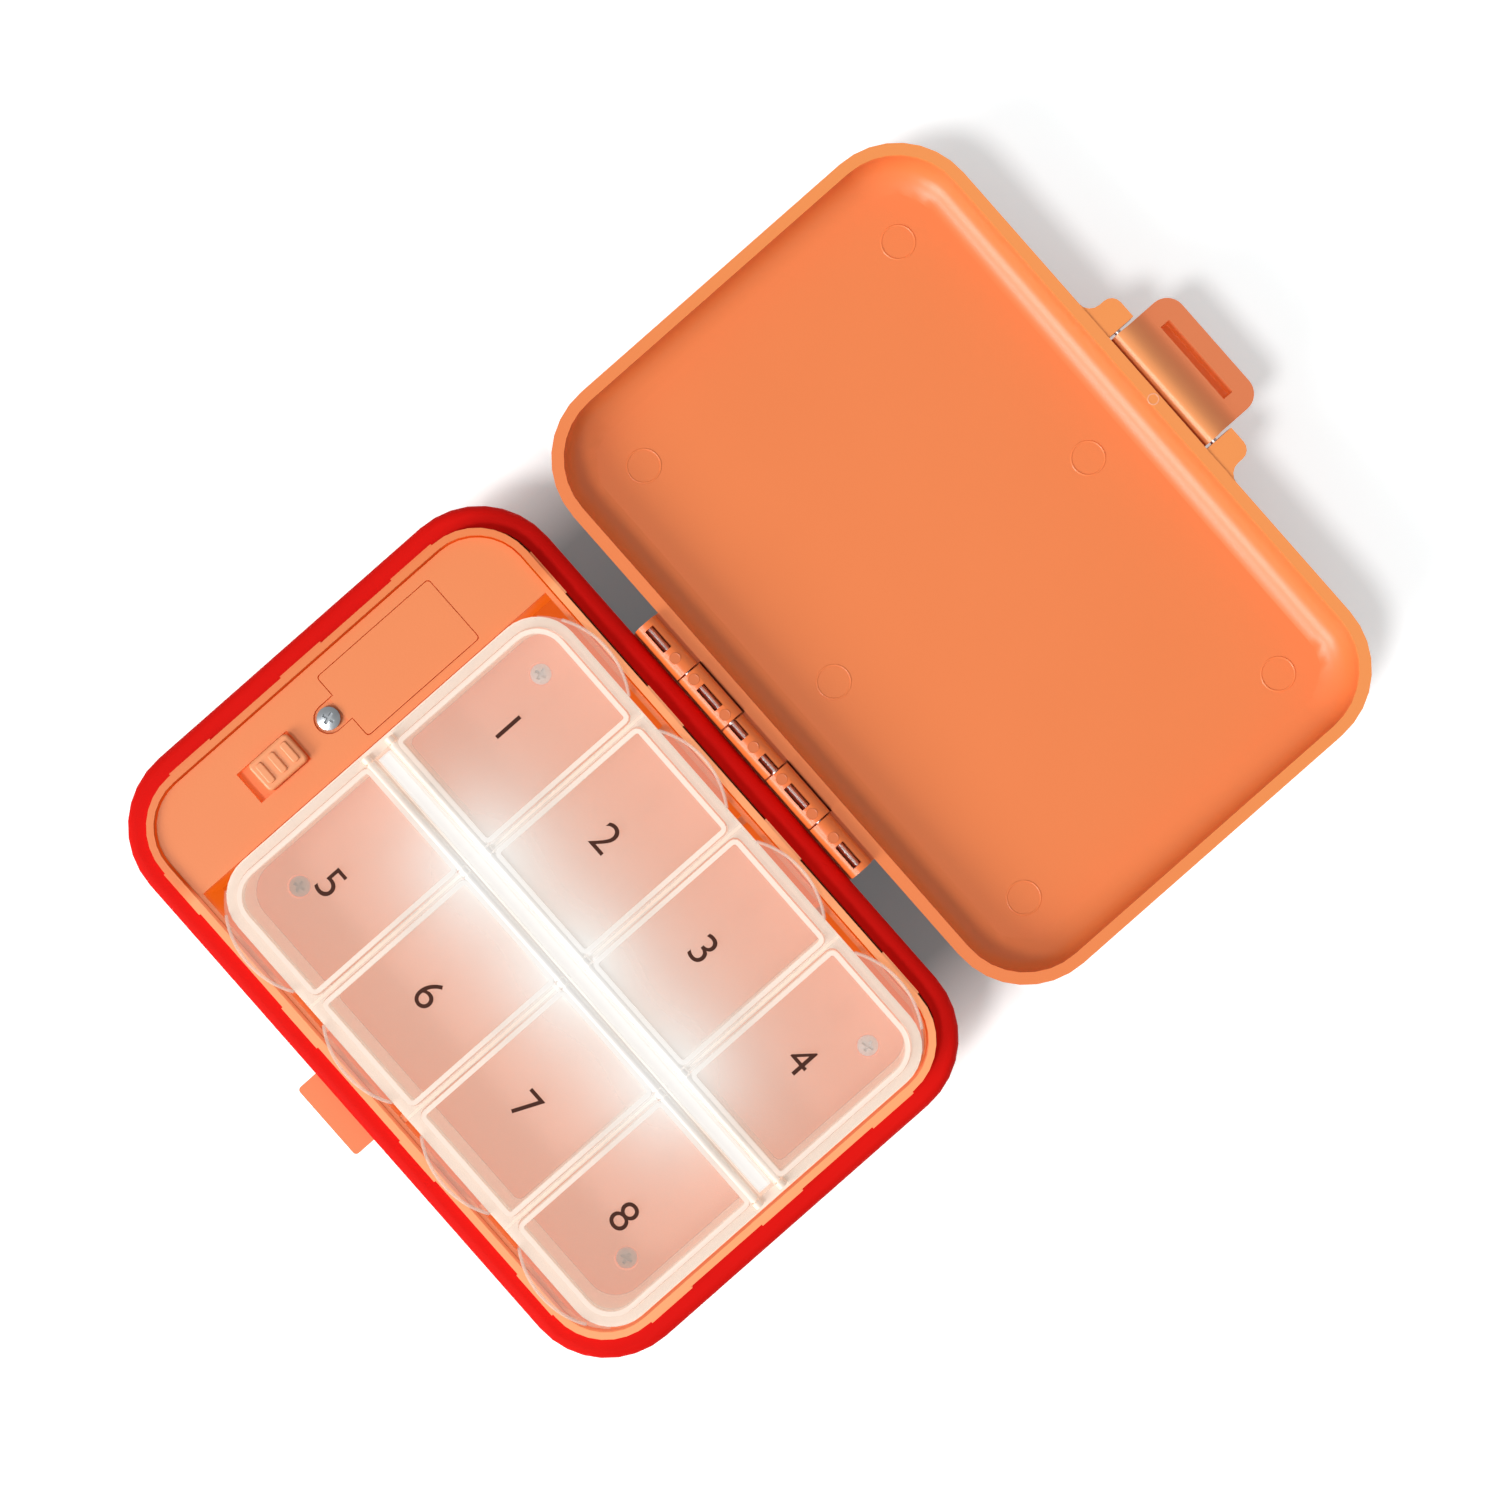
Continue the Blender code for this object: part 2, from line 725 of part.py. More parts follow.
def make_inner_frame(surface):
    frame = block("inner_frame", (-frame_half.x, -frame_half.y, frame_floor_z), (*frame_half, deck_z),
                  radius=frame_radius)
    pocket = block("organizer_pocket", (-pocket_half_x, pocket_low_y, frame_floor_top_z),
                   (pocket_half_x, pocket_high_y, deck_z + overrun),
                   radius=frame_radius - frame_wall, corners=((-1, -1), (1, -1)))
    space = block("deck_space",
                  (-frame_half.x + deck_wall, pocket_high_y + deck_wall, frame_floor_z - overrun),
                  (frame_half.x - deck_wall, frame_half.y - deck_wall, deck_under_z),
                  radius=frame_radius - deck_wall, corners=((-1, 1), (1, 1)))
    cut(frame, pocket, space)

    levels = cell_levels()
    centre = door_place()
    half = bay_half()
    bay_box = block("bay_box", (centre.x - half.x - bay_wall, pocket_high_y + deck_wall / 2,
                                levels["floor"] - bay_floor_thickness),
                    (centre.x + half.x + bay_wall, frame_half.y - deck_wall / 2, deck_under_z + embed))
    screw_x = tongue_screw_x()
    boss_low_z = deck_z - tongue_drop - door_thickness - door_screw_length
    boss = rod("door_screw_boss", (screw_x, centre.y, (boss_low_z + deck_under_z + embed) / 2),
               door_screw_shank_radius + fit_gap + screw_boss_wall,
               deck_under_z + embed - boss_low_z)
    join(frame, bay_box, boss)
    for k, y in enumerate(rib_places()):
        for side in (-1, 1):
            inner_x = tray_half_x - tray_flange_overhang + fit_gap
            span = sorted((side * inner_x, side * (pocket_half_x + embed)))
            join(frame, block(f"pocket_rib_{k}_{side}",
                              (span[0], y - rib_thickness / 2, frame_floor_top_z - embed),
                              (span[1], y + rib_thickness / 2, deck_z - rib_drop)))

    bay = block("cell_bay", (centre.x - half.x, centre.y - half.y, levels["floor"]),
                (centre.x + half.x, centre.y + half.y, deck_z + overrun))
    door_recess = door_shape("door_recess", door_gap, deck_z - door_thickness - fit_gap, deck_z + overrun)
    door_hole = rod("door_screw_hole", (screw_x, centre.y, (boss_low_z + deck_z) / 2),
                    door_screw_shank_radius + fit_gap, deck_z - boss_low_z + overrun)
    wire_holes = [rod("wire_hole", (x, centre.y, levels["floor"] - bay_floor_thickness / 2),
                      wire_radius + fit_gap, bay_floor_thickness + overrun)
                  for x in (cell_x(-1), cell_x(1))]
    cut(frame, bay, door_recess, door_hole, gathered("wire_holes", wire_holes))

    switch = switch_place()
    recess = recess_half()
    pad = block("switch_pad", (switch.x - recess.x - bay_wall, switch.y - recess.y - bay_wall,
                               deck_z - recess_depth - recess_floor),
                (switch.x + recess.x + bay_wall, switch.y + recess.y + bay_wall,
                 deck_under_z + embed))
    switch_recess = block("switch_recess",
                          (switch.x - recess.x, switch.y - recess.y, deck_z - recess_depth),
                          (switch.x + recess.x, switch.y + recess.y, deck_z + overrun))
    slot_half = Vector(((stem_length + knob_travel) / 2 + switch_side_gap,
                        stem_width / 2 + switch_side_gap))
    stem_slot = block("stem_slot", (switch.x - slot_half.x, switch.y - slot_half.y,
                                    deck_z - recess_depth - recess_floor - overrun),
                      (switch.x + slot_half.x, switch.y + slot_half.y, deck_z))
    join(frame, pad)
    cut(frame, switch_recess, stem_slot)

    seat_z = frame_floor_top_z - screw_seat_depth
    boss_bottom_z = seat_z - screw_boss_wall
    bosses = []
    wells = []
    holes = []
    for x, y in screw_places():
        bosses.append(rod("frame_boss", (x, y, (boss_bottom_z + frame_floor_top_z - embed) / 2),
                          screw_head_radius + fit_gap + screw_boss_wall,
                          frame_floor_top_z - embed - boss_bottom_z))
        wells.append(rod("screw_well", (x, y, (seat_z + frame_floor_top_z + overrun) / 2),
                         screw_head_radius + fit_gap, frame_floor_top_z + overrun - seat_z))
        holes.append(rod("frame_screw_hole", (x, y, seat_z), screw_shank_radius + fit_gap,
                         2 * (screw_boss_wall + overrun)))
    join(frame, gathered("frame_bosses", bosses))
    cut(frame, gathered("screw_wells", wells), gathered("frame_screw_holes", holes))

    light_holes = [rod("light_hole", (0, y, frame_floor_z + frame_floor_thickness / 2),
                       math.hypot(led_width, led_length) / 2 + led_hole_gap,
                       frame_floor_thickness + 2 * overrun) for y in led_places()]
    cut(frame, gathered("light_holes", light_holes))
    return make_part(frame, surface)


def rib_places():
    """Y of the ribs that steady the tray's long sides."""
    return [pocket_middle_y + (k - (rib_count - 1) / 2) * rib_pitch for k in range(rib_count)]


def led_places():
    """The lights stand under the walls between the rows."""
    return [row_boundary(index) for index in range(1, row_count)]


def cell_x(side):
    return door_place().x + side * (cell_diameter + cell_gap) / 2


def make_battery(cell_surface, contact_surface, door_surface, screw_surface):
    centre = door_place()
    levels = cell_levels()
    door = door_shape("battery_door", 0.0, deck_z - door_thickness, deck_z)
    screw_x = tongue_screw_x()
    head_room = block("tongue_top", (screw_x - tongue_radius - overrun, centre.y - tongue_radius - overrun,
                                     deck_z - tongue_drop),
                      (screw_x + door_screw_head_radius + fit_gap, centre.y + tongue_radius + overrun,
                       deck_z + overrun))
    shank_hole = rod("door_shank_hole", (screw_x, centre.y, deck_z), door_screw_shank_radius + fit_gap,
                     2 * (door_thickness + overrun))
    cut(door, head_room, shank_hole)
    make_part(door, door_surface)
    seat_z = deck_z - tongue_drop + fit_gap
    turned_screw("battery_door_screw", screw_x, centre.y, seat_z, door_screw_head_radius,
                 door_screw_head_height, door_screw_shank_radius, seat_z - door_screw_length,
                 screw_surface)
    for number, side in enumerate((-1, 1), start=1):
        x = cell_x(side)
        middle_z = (levels["bottom"] + levels["top"]) / 2
        cell = rod(f"button_cell_{number}", (x, centre.y, middle_z), cell_diameter / 2,
                   cell_thickness, sides=2 * rod_sides)
        make_part(cell, cell_surface)
        contact = block(f"cell_contact_{number}",
                        (x - contact_width / 2, centre.y - contact_width / 2,
                         levels["contact"] - contact_thickness),
                        (x + contact_width / 2, centre.y + contact_width / 2, levels["contact"]),
                        radius=contact_thickness, steps=fine_steps)
        make_part(contact, contact_surface)
    link = block("cell_link", (centre.x - link_length / 2, centre.y - link_width / 2,
                               levels["link"] - link_thickness),
                 (centre.x + link_length / 2, centre.y + link_width / 2, levels["link"]),
                 radius=link_width / 2, steps=fine_steps)
    make_part(link, contact_surface)


def make_switch(knob_surface, body_surface):
    place = switch_place()
    rest_x = place.x + knob_travel / 2
    bottom_z = deck_z - recess_depth + fit_gap
    top_z = deck_z + knob_rise
    knob = block("switch_knob", (rest_x - knob_length / 2, place.y - knob_width / 2, bottom_z),
                 (rest_x + knob_length / 2, place.y + knob_width / 2, top_z),
                 radius=knob_corner_radius, steps=fine_steps, high_round=knob_edge_round,
                 round_steps=fine_steps)
    ribs = []
    for k in range(knob_rib_count):
        x = rest_x + (k - (knob_rib_count - 1) / 2) * knob_rib_pitch
        ribs.append(block("knob_rib", (x - knob_rib_width / 2, place.y - knob_rib_length / 2, top_z - embed),
                          (x + knob_rib_width / 2, place.y + knob_rib_length / 2, top_z + knob_rib_height),
                          radius=knob_rib_width / 3, steps=fine_steps,
                          high_round=knob_rib_height / 2, round_steps=fine_steps))
    stem_bottom_z = bottom_z - recess_floor - fit_gap - stem_depth
    stem = block("knob_stem", (rest_x - stem_length / 2, place.y - stem_width / 2, stem_bottom_z),
                 (rest_x + stem_length / 2, place.y + stem_width / 2, bottom_z + embed))
    join(knob, gathered("knob_ribs", ribs), stem)
    joint = joint_empty("switch_slide", (rest_x, place.y, bottom_z))
    make_part(knob, knob_surface, joint)

    body_top_z = deck_z - recess_depth - recess_floor - fit_gap
    body = block("switch_body", (place.x - switch_body_length / 2, place.y - switch_body_width / 2,
                                 body_top_z - switch_body_height),
                 (place.x + switch_body_length / 2, place.y + switch_body_width / 2, body_top_z))
    slot_half = Vector(((stem_length + knob_travel) / 2 + switch_side_gap,
                        stem_width / 2 + switch_side_gap))
    slot = block("switch_body_slot", (place.x - slot_half.x, place.y - slot_half.y,
                                      stem_bottom_z - fit_gap),
                 (place.x + slot_half.x, place.y + slot_half.y, body_top_z + overrun))
    cut(body, slot)
    make_part(body, body_surface)


def make_light(board_surface, led_surface, bar_surface):
    places = led_places()
    board_top_z = frame_floor_z - fit_gap
    board = block("light_board", (-board_width / 2, places[-1] - board_margin, board_top_z - board_thickness),
                  (board_width / 2, places[0] + board_margin, board_top_z))
    make_part(board, board_surface)
    for number, y in enumerate(places, start=1):
        led = block(f"led_{number}", (-led_width / 2, y - led_length / 2, board_top_z + fit_gap),
                    (led_width / 2, y + led_length / 2, board_top_z + fit_gap + led_height),
                    high_round=led_height / 4, round_steps=1)
        make_part(led, led_surface)
    bar_half_x = spine_slot_width / 2 - bar_side_gap
    bar = block("light_bar", (-bar_half_x, spine_low_y + bar_end_gap, tray_bottom_z),
                (bar_half_x, spine_high_y - bar_end_gap, flange_top_z),
                high_round=bar_half_x / 4, round_steps=1)
    make_part(bar, bar_surface)


def make_wire(name, points, surface):
    """A short insulated lead through the given points, smoothed between them."""
    curve = bpy.data.curves.new(name, "CURVE")
    curve.dimensions = "3D"
    curve.bevel_depth = wire_radius
    curve.bevel_resolution = 2
    curve.use_fill_caps = True
    smooth = []
    padded = [points[0], *points, points[-1]]
    for k in range(1, len(padded) - 2):
        a, b, c, d = (Vector(point) for point in padded[k - 1:k + 3])
        for step in range(fine_steps):
            t = step / fine_steps
            smooth.append(0.5 * ((2 * b) + (c - a) * t + (2 * a - 5 * b + 4 * c - d) * t ** 2
                                 + (3 * b - a - 3 * c + d) * t ** 3))
    smooth.append(Vector(points[-1]))
    spline = curve.splines.new("POLY")
    spline.points.add(len(smooth) - 1)
    for point, place in zip(spline.points, smooth):
        point.co = (*place, 1)
    wire = bpy.data.objects.new(name, curve)
    curve.materials.append(surface)
    case.objects.link(wire)


def make_wires(surface):
    """Leads from the cells and the switch to the light board, under the deck and the pocket floor."""
    levels = cell_levels()
    centre = door_place()
    switch = switch_place()
    start_z = levels["contact"] - contact_thickness - fit_gap
    below_bay_z = levels["floor"] - bay_floor_thickness - fit_gap
    channel_z = (shell_wall + frame_floor_z - board_thickness) / 2
    board_end_y = led_places()[0] + board_margin + fit_gap
    board_z = frame_floor_z - fit_gap - board_thickness / 2
    drop_y = pocket_high_y + deck_wall + 2 * wire_radius + bay_wall
    switch_bottom_z = (deck_z - recess_depth - recess_floor - 2 * fit_gap - switch_body_height)
    lane = board_width / 4
    make_wire("wire_cell_to_board", [
        (cell_x(1), centre.y, start_z),
        (cell_x(1), centre.y, below_bay_z),
        (cell_x(1), centre.y, below_bay_z - bay_floor_thickness),
        (cell_x(1), drop_y, frame_floor_z),
        (cell_x(1) * 0.7, drop_y - deck_wall, channel_z),
        (lane, pocket_high_y - deck_wall, channel_z),
        (lane, board_end_y + 4 * bay_wall, board_z),
        (lane, board_end_y, board_z)], surface)
    make_wire("wire_cell_to_switch", [
        (cell_x(-1), centre.y, start_z),
        (cell_x(-1), centre.y, below_bay_z),
        (cell_x(-1), centre.y, below_bay_z - bay_floor_thickness),
        (cell_x(-1) - cell_diameter, centre.y + lane, (start_z + frame_floor_z) / 2),
        (switch.x + lane, switch.y, switch_bottom_z - 2 * bay_wall),
        (switch.x + lane, switch.y, switch_bottom_z)], surface)
    make_wire("wire_switch_to_board", [
        (switch.x - lane, switch.y, switch_bottom_z),
        (switch.x - lane, switch.y, switch_bottom_z - 2 * bay_wall),
        (switch.x - lane, drop_y, frame_floor_z),
        (switch.x / 2, drop_y - deck_wall, channel_z),
        (-lane, pocket_high_y - deck_wall, channel_z),
        (-lane, board_end_y + 4 * bay_wall, board_z),
        (-lane, board_end_y, board_z)], surface)


def ear_outline(side):
    """A latch ear with a rounded corner and a hollow flare to the lid's wall, in XY."""
    start_x = lid_far_x - lid_wall / 2
    reach_x = latch_x + ear_reach
    outer_y = ear_inner_y + ear_width
    outline = [(start_x, ear_inner_y), (reach_x, ear_inner_y)]
    outline += arc((reach_x - ear_round, outer_y - ear_round), ear_round, 0, 90, edge_steps)
    outline += arc((lid_far_x + ear_flare, outer_y + ear_flare), ear_flare, -90, -180, edge_steps)
    outline.append((start_x, outer_y + ear_flare))
    return [(x, latch_offset_y + side * y) for x, y in outline]


def make_lid(surface, joint):
    low_z = rim_z - lid_depth
    lid = block("lid_shell", (lid_near_x, -lid_half_y, low_z), (lid_far_x, lid_half_y, rim_z),
                radius=lid_corner_radius, low_round=lid_outer_round)
    hollow = block("lid_hollow", (lid_near_x + lid_wall, -lid_half_y + lid_wall, low_z + lid_roof),
                   (lid_far_x - lid_wall, lid_half_y - lid_wall, rim_z + overrun),
                   radius=lid_corner_radius - lid_wall, low_round=lid_inner_round)
    cut(lid, hollow)
    for index in (0, 2, 4):
        low_y, high_y = knuckle_span(index)
        neck = block(f"lid_neck_{index}",
                     (pin_x + knuckle_reach_out / 2, low_y, pin_z - knuckle_half_height),
                     (lid_near_x + lid_wall / 2, high_y, rim_z - ear_drop))
        join(lid, knuckle(f"lid_knuckle_{index}", index, knuckle_reach_out), neck)
    for side in (-1, 1):
        ear = outline_plate(f"latch_ear_{side}", ear_outline(side), rim_z - ear_drop - ear_thickness,
                            rim_z - ear_drop)
        join(lid, ear)
    cut(lid, pin_bore("lid_pin_bore"))
    for index in (0, 2, 4):
        cut(lid, knuckle_windows(f"lid_window_{index}", index))
    latch_bore = rod("lid_latch_bore", (latch_x, latch_offset_y, latch_z), pin_radius + pin_clearance,
                     2 * (latch_pin_half() + pin_clearance), axis=1)
    cut(lid, latch_bore)
    return make_part(lid, surface, joint)


def latch_pin_half():
    return ear_inner_y + ear_width - latch_pin_end_wall


def make_latch(surface, pin_surface, lid_joint, latch_joint):
    half_y = latch_width / 2
    plate_top = latch_z - latch_plate_drop
    plate_bottom = plate_top - latch_plate_thickness
    plate = block("latch", (latch_x, latch_offset_y - half_y, plate_bottom),
                  (latch_x + latch_length, latch_offset_y + half_y, plate_top),
                  radius=latch_corner_radius, corners=((1, -1), (1, 1)),
                  low_round=latch_edge_round, round_steps=fine_steps)
    barrel = rod("latch_barrel", (latch_x, latch_offset_y, latch_z), latch_barrel_radius,
                 latch_width + level_tolerance * 4, axis=1)
    join(plate, barrel)
    slot = block("latch_slot", (latch_x + slot_distance - slot_width / 2,
                                latch_offset_y - tab_width / 2 - slot_side_gap,
                                plate_bottom + latch_skin),
                 (latch_x + slot_distance + slot_width / 2,
                  latch_offset_y + tab_width / 2 + slot_side_gap, plate_top + overrun))
    bore = rod("latch_bore", (latch_x, latch_offset_y, latch_z), pin_radius + pin_clearance,
               latch_width + 2 * overrun, axis=1)
    cut(plate, slot, bore)
    make_part(plate, surface, latch_joint)
    pin = rod("latch_pin", (latch_x, latch_offset_y, latch_z), pin_radius, 2 * latch_pin_half(), axis=1)
    make_part(pin, pin_surface, lid_joint)


def make_tray(surface, joint):
    body_half_x = tray_half_x - tray_flange_overhang
    body_low_y = tray_low_y + tray_flange_overhang
    body_high_y = tray_high_y - tray_flange_overhang
    tray = block("organizer_tray", (-body_half_x, body_low_y, tray_bottom_z),
                 (body_half_x, body_high_y, flange_bottom_z + embed),
                 radius=tray_corner_radius - tray_flange_overhang, low_round=tray_floor,
                 round_steps=fine_steps)
    flange = block("tray_flange", (-tray_half_x, tray_low_y, flange_bottom_z),
                   (tray_half_x, tray_high_y, flange_top_z), radius=tray_corner_radius)
    join(tray, flange)
    cells = []
    for row in range(row_count):
        y = row_centre(row)
        for side in (-1, 1):
            span = sorted((side * inner_near_x, side * inner_far_x))
            cell = block("compartment", (span[0], y - row_length / 2, tray_bottom_z + tray_floor),
                         (span[1], y + row_length / 2, flange_top_z + overrun),
                         radius=compartment_corner_radius, steps=fine_steps,
                         wide_radius=tray_inner_radius, wide_corners=tray_corners(side, row),
                         low_round=compartment_floor_round, round_steps=2)
            cells.append(cell)
    cut(tray, gathered("compartments", cells))
    slot = block("spine_slot", (-spine_slot_width / 2, spine_low_y, tray_bottom_z - overrun),
                 (spine_slot_width / 2, spine_high_y, flange_top_z + overrun))
    cut(tray, slot)
    ears = []
    for index in range(row_count + 1):
        y = row_boundary(index)
        for side in (-1, 1):
            x = side * flip_axis_x
            ears.append(block("flip_ear", (x - flip_barrel_radius, y - flip_ear_width / 2,
                                           flange_top_z - embed),
                              (x + flip_barrel_radius, y + flip_ear_width / 2,
                               flip_axis_z + flip_barrel_radius),
                              axis=1, radius=flip_barrel_radius * 0.9, corners=((-1, 1), (1, 1)),
                              steps=fine_steps))
    join(tray, gathered("flip_ears", ears))
    drill_length = (row_count * row_pitch) + flip_ear_width / 2
    for side in (-1, 1):
        drill = rod(f"ear_drill_{side}", (side * flip_axis_x, row_boundary(row_count / 2), flip_axis_z),
                    flip_stub_radius + pin_clearance, drill_length, axis=1, sides=stub_sides)
        cut(tray, drill)
    return make_part(tray, surface, joint)


def thumb_tab(name, side, edge_x, y, corner):
    """A half-moon beyond a flip lid's free edge, which runs on to the tray's corner if it has one.

    The corner is given as the sign of its Y side and the centre of the plate's rounding there.
    """
    centre_x = edge_x + thumb_tab_reach - thumb_tab_radius
    reach = math.degrees(math.acos((edge_x - centre_x) / thumb_tab_radius))
    ends = {-1: -reach, 1: reach}
    if corner:
        sign, corner_x, corner_y = corner
        ends[sign] = math.degrees(math.atan2(corner_y - y, corner_x - centre_x))
    outline = [(edge_x - skirt_width, y - thumb_tab_radius * math.sin(math.radians(reach)))]
    outline += [(px, y + py) for px, py in arc((centre_x, 0), thumb_tab_radius, ends[-1], ends[1],
                                               tab_steps)]
    outline.append((edge_x - skirt_width, y + thumb_tab_radius * math.sin(math.radians(reach))))
    if corner:
        outline[0 if sign < 0 else -1] = (corner_x, corner_y)
        outline.append((corner_x, y))
    outline = [(side * px, py) for px, py in outline]
    return outline_plate(name, outline, flip_plate_z + thumb_tab_inset,
                         flip_plate_z + lid_plate_thickness - thumb_tab_inset)


def make_flip_lid(number, side, row, surface, organizer_joint):
    """One compartment lid, on the +X or -X side, with its axle along the spine."""
    name = f"flip_lid_{number}"
    y = row_centre(row)
    low_y = y - (row_pitch - flip_side_gap) / 2
    high_y = y + (row_pitch - flip_side_gap) / 2
    edge_x = tray_half_x - flip_edge_inset
    corner = None
    plate_radius = tray_corner_radius - flip_edge_inset
    if row == 0:
        high_y = tray_high_y - flip_edge_inset
        corner = (1, edge_x - plate_radius, high_y - plate_radius)
    if row == row_count - 1:
        low_y = tray_low_y + flip_edge_inset
        corner = (-1, edge_x - plate_radius, low_y + plate_radius)
    near_x = flip_axis_x + flip_plate_start
    top_z = flip_plate_z + lid_plate_thickness
    plate_x = sorted((side * near_x, side * edge_x))
    lid = block(name, (plate_x[0], low_y, flip_plate_z), (plate_x[1], high_y, top_z),
                wide_radius=plate_radius, wide_corners=tray_corners(side, row))
    web_x = sorted((side * flip_axis_x, side * (near_x + embed)))
    axle_half = row_pitch / 2 - flip_ear_width / 2 - fit_gap
    web = block(name + "_web", (web_x[0], y - axle_half, flip_plate_z + thumb_tab_inset),
                (web_x[1], y + axle_half, top_z - thumb_tab_inset))
    barrel = rod(name + "_barrel", (side * flip_axis_x, y, flip_axis_z), flip_barrel_radius,
                 2 * axle_half, axis=1, sides=barrel_sides)
    stub = rod(name + "_stub", (side * flip_axis_x, y, flip_axis_z), flip_stub_radius,
               2 * (axle_half + flip_stub_length), axis=1, sides=stub_sides)
    skirt_x = sorted((side * (inner_near_x + fit_gap), side * (inner_far_x - fit_gap)))
    skirt_y = (y - row_length / 2 + fit_gap, y + row_length / 2 - fit_gap)
    skirt = block(name + "_skirt", (skirt_x[0], skirt_y[0], flip_plate_z - skirt_depth),
                  (skirt_x[1], skirt_y[1], top_z + bead_rise),
                  radius=compartment_corner_radius - fit_gap, steps=fine_steps,
                  wide_radius=tray_inner_radius - fit_gap, wide_corners=tray_corners(side, row))
    window = block(name + "_window",
                   (skirt_x[0] + skirt_width, skirt_y[0] + skirt_width,
                    flip_plate_z - skirt_depth - overrun),
                   (skirt_x[1] - skirt_width, skirt_y[1] - skirt_width, top_z + bead_rise + overrun),
                   radius=compartment_corner_radius - fit_gap - skirt_width, steps=fine_steps,
                   wide_radius=tray_inner_radius - fit_gap - skirt_width,
                   wide_corners=tray_corners(side, row))
    cut(skirt, window)
    join(lid, web, thumb_tab(name + "_tab", side, edge_x, y, corner), barrel, stub, skirt)
    joint = joint_empty(f"flip_hinge_{number}", (side * flip_axis_x, y, flip_axis_z))
    make_part(lid, surface, joint)
    carry(joint, organizer_joint)


def carry(child, parent):
    """Hang one joint's empty on another."""
    child.parent = parent
    child.matrix_parent_inverse = Matrix.Translation(-Vector(parent.location))


def build():
    for leftover in list(bpy.data.objects):
        bpy.data.objects.remove(leftover)
    bpy.context.scene.collection.children.link(case)
    bpy.context.scene.collection.children.link(cutters)

    orange = plastic("orange_plastic", (0.93, 0.27, 0.08), 0.5)
    red = plastic("red_silicone", (0.82, 0.02, 0.01), 0.75)
    frosted = plastic("frosted_plastic", (0.9, 0.78, 0.72), 0.35, alpha=0.5)
    glowing = plastic("light_diffuser", (1.0, 0.95, 0.88), 0.4)
    steel = plastic("steel", (0.62, 0.62, 0.62), 0.3, metallic=1.0)
    zinc = plastic("zinc", (0.55, 0.58, 0.62), 0.35, metallic=1.0)
    green = plastic("circuit_board", (0.02, 0.2, 0.06), 0.5)
    black = plastic("switch_housing", (0.03, 0.03, 0.03), 0.5)
    brass = plastic("contact_metal", (0.75, 0.6, 0.35), 0.35, metallic=1.0)
    wire = plastic("wire_insulation", (0.5, 0.02, 0.02), 0.5)

    lid_joint = joint_empty("lid_hinge", (pin_x, 0, pin_z))
    latch_joint = joint_empty("latch_hinge", (latch_x, latch_offset_y, latch_z))
    carry(latch_joint, lid_joint)
    organizer_joint = joint_empty("organizer_lift", (0, row_boundary(row_count / 2), tray_bottom_z))

    make_base_shell(orange)
    make_seal_band(red)
    make_inner_frame(orange)
    make_battery(steel, brass, orange, zinc)
    make_switch(orange, black)
    make_light(green, glowing, glowing)
    make_wires(wire)
    head_z = frame_floor_top_z - screw_seat_depth + fit_gap
    for number, (x, y) in enumerate(screw_places(), start=1):
        turned_screw(f"frame_screw_{number}", x, y, head_z, screw_head_radius, screw_head_height,
                     screw_shank_radius, shell_wall + screw_tip_gap, zinc)
    hinge_pin = rod("hinge_pin", (pin_x, 0, pin_z), pin_radius, 2 * pin_half_y, axis=1)
    make_part(hinge_pin, steel)

    make_lid(orange, lid_joint)
    make_latch(orange, steel, lid_joint, latch_joint)
    make_tray(frosted, organizer_joint)
    number = 1
    for side in (1, -1):
        for row in range(row_count):
            make_flip_lid(number, side, row, frosted, organizer_joint)
            number += 1


build()
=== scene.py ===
"""Looks of the light-up pill case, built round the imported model, lying open and lit."""

import json
import math

import bmesh
import bpy
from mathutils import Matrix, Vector


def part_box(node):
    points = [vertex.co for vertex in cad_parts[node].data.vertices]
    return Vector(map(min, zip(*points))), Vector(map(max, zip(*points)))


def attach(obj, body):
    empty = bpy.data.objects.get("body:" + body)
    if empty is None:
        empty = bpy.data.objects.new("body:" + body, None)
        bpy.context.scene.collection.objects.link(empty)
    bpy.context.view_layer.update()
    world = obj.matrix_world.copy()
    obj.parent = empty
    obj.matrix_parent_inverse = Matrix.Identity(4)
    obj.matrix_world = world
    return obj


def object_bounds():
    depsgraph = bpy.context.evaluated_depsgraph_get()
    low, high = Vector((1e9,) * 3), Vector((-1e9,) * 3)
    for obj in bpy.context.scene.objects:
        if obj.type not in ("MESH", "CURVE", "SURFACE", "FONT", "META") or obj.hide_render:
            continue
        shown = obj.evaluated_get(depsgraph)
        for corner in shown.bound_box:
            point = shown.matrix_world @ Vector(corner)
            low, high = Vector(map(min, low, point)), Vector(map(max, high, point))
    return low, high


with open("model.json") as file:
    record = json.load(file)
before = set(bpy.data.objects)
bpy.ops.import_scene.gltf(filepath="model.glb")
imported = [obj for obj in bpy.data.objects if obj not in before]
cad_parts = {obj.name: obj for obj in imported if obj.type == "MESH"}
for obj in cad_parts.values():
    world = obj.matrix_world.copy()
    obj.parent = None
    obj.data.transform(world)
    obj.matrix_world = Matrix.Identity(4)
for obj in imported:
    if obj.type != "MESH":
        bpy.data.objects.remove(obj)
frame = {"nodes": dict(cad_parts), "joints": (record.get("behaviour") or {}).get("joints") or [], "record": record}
cad_low, cad_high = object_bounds()

# Camera
picture_pixels = 1500
pixels_per_metre = 6100
camera_height = 0.430
camera_x = 0.0453
camera_turn = -41.35

# Floor, as the camera sees it and as it lights the object
floor_size = 4.0
white = (1.0, 1.0, 1.0)
floor_lift = (0.275, 0.305, 0.31)
floor_bounce = (0.62, 0.62, 0.62)

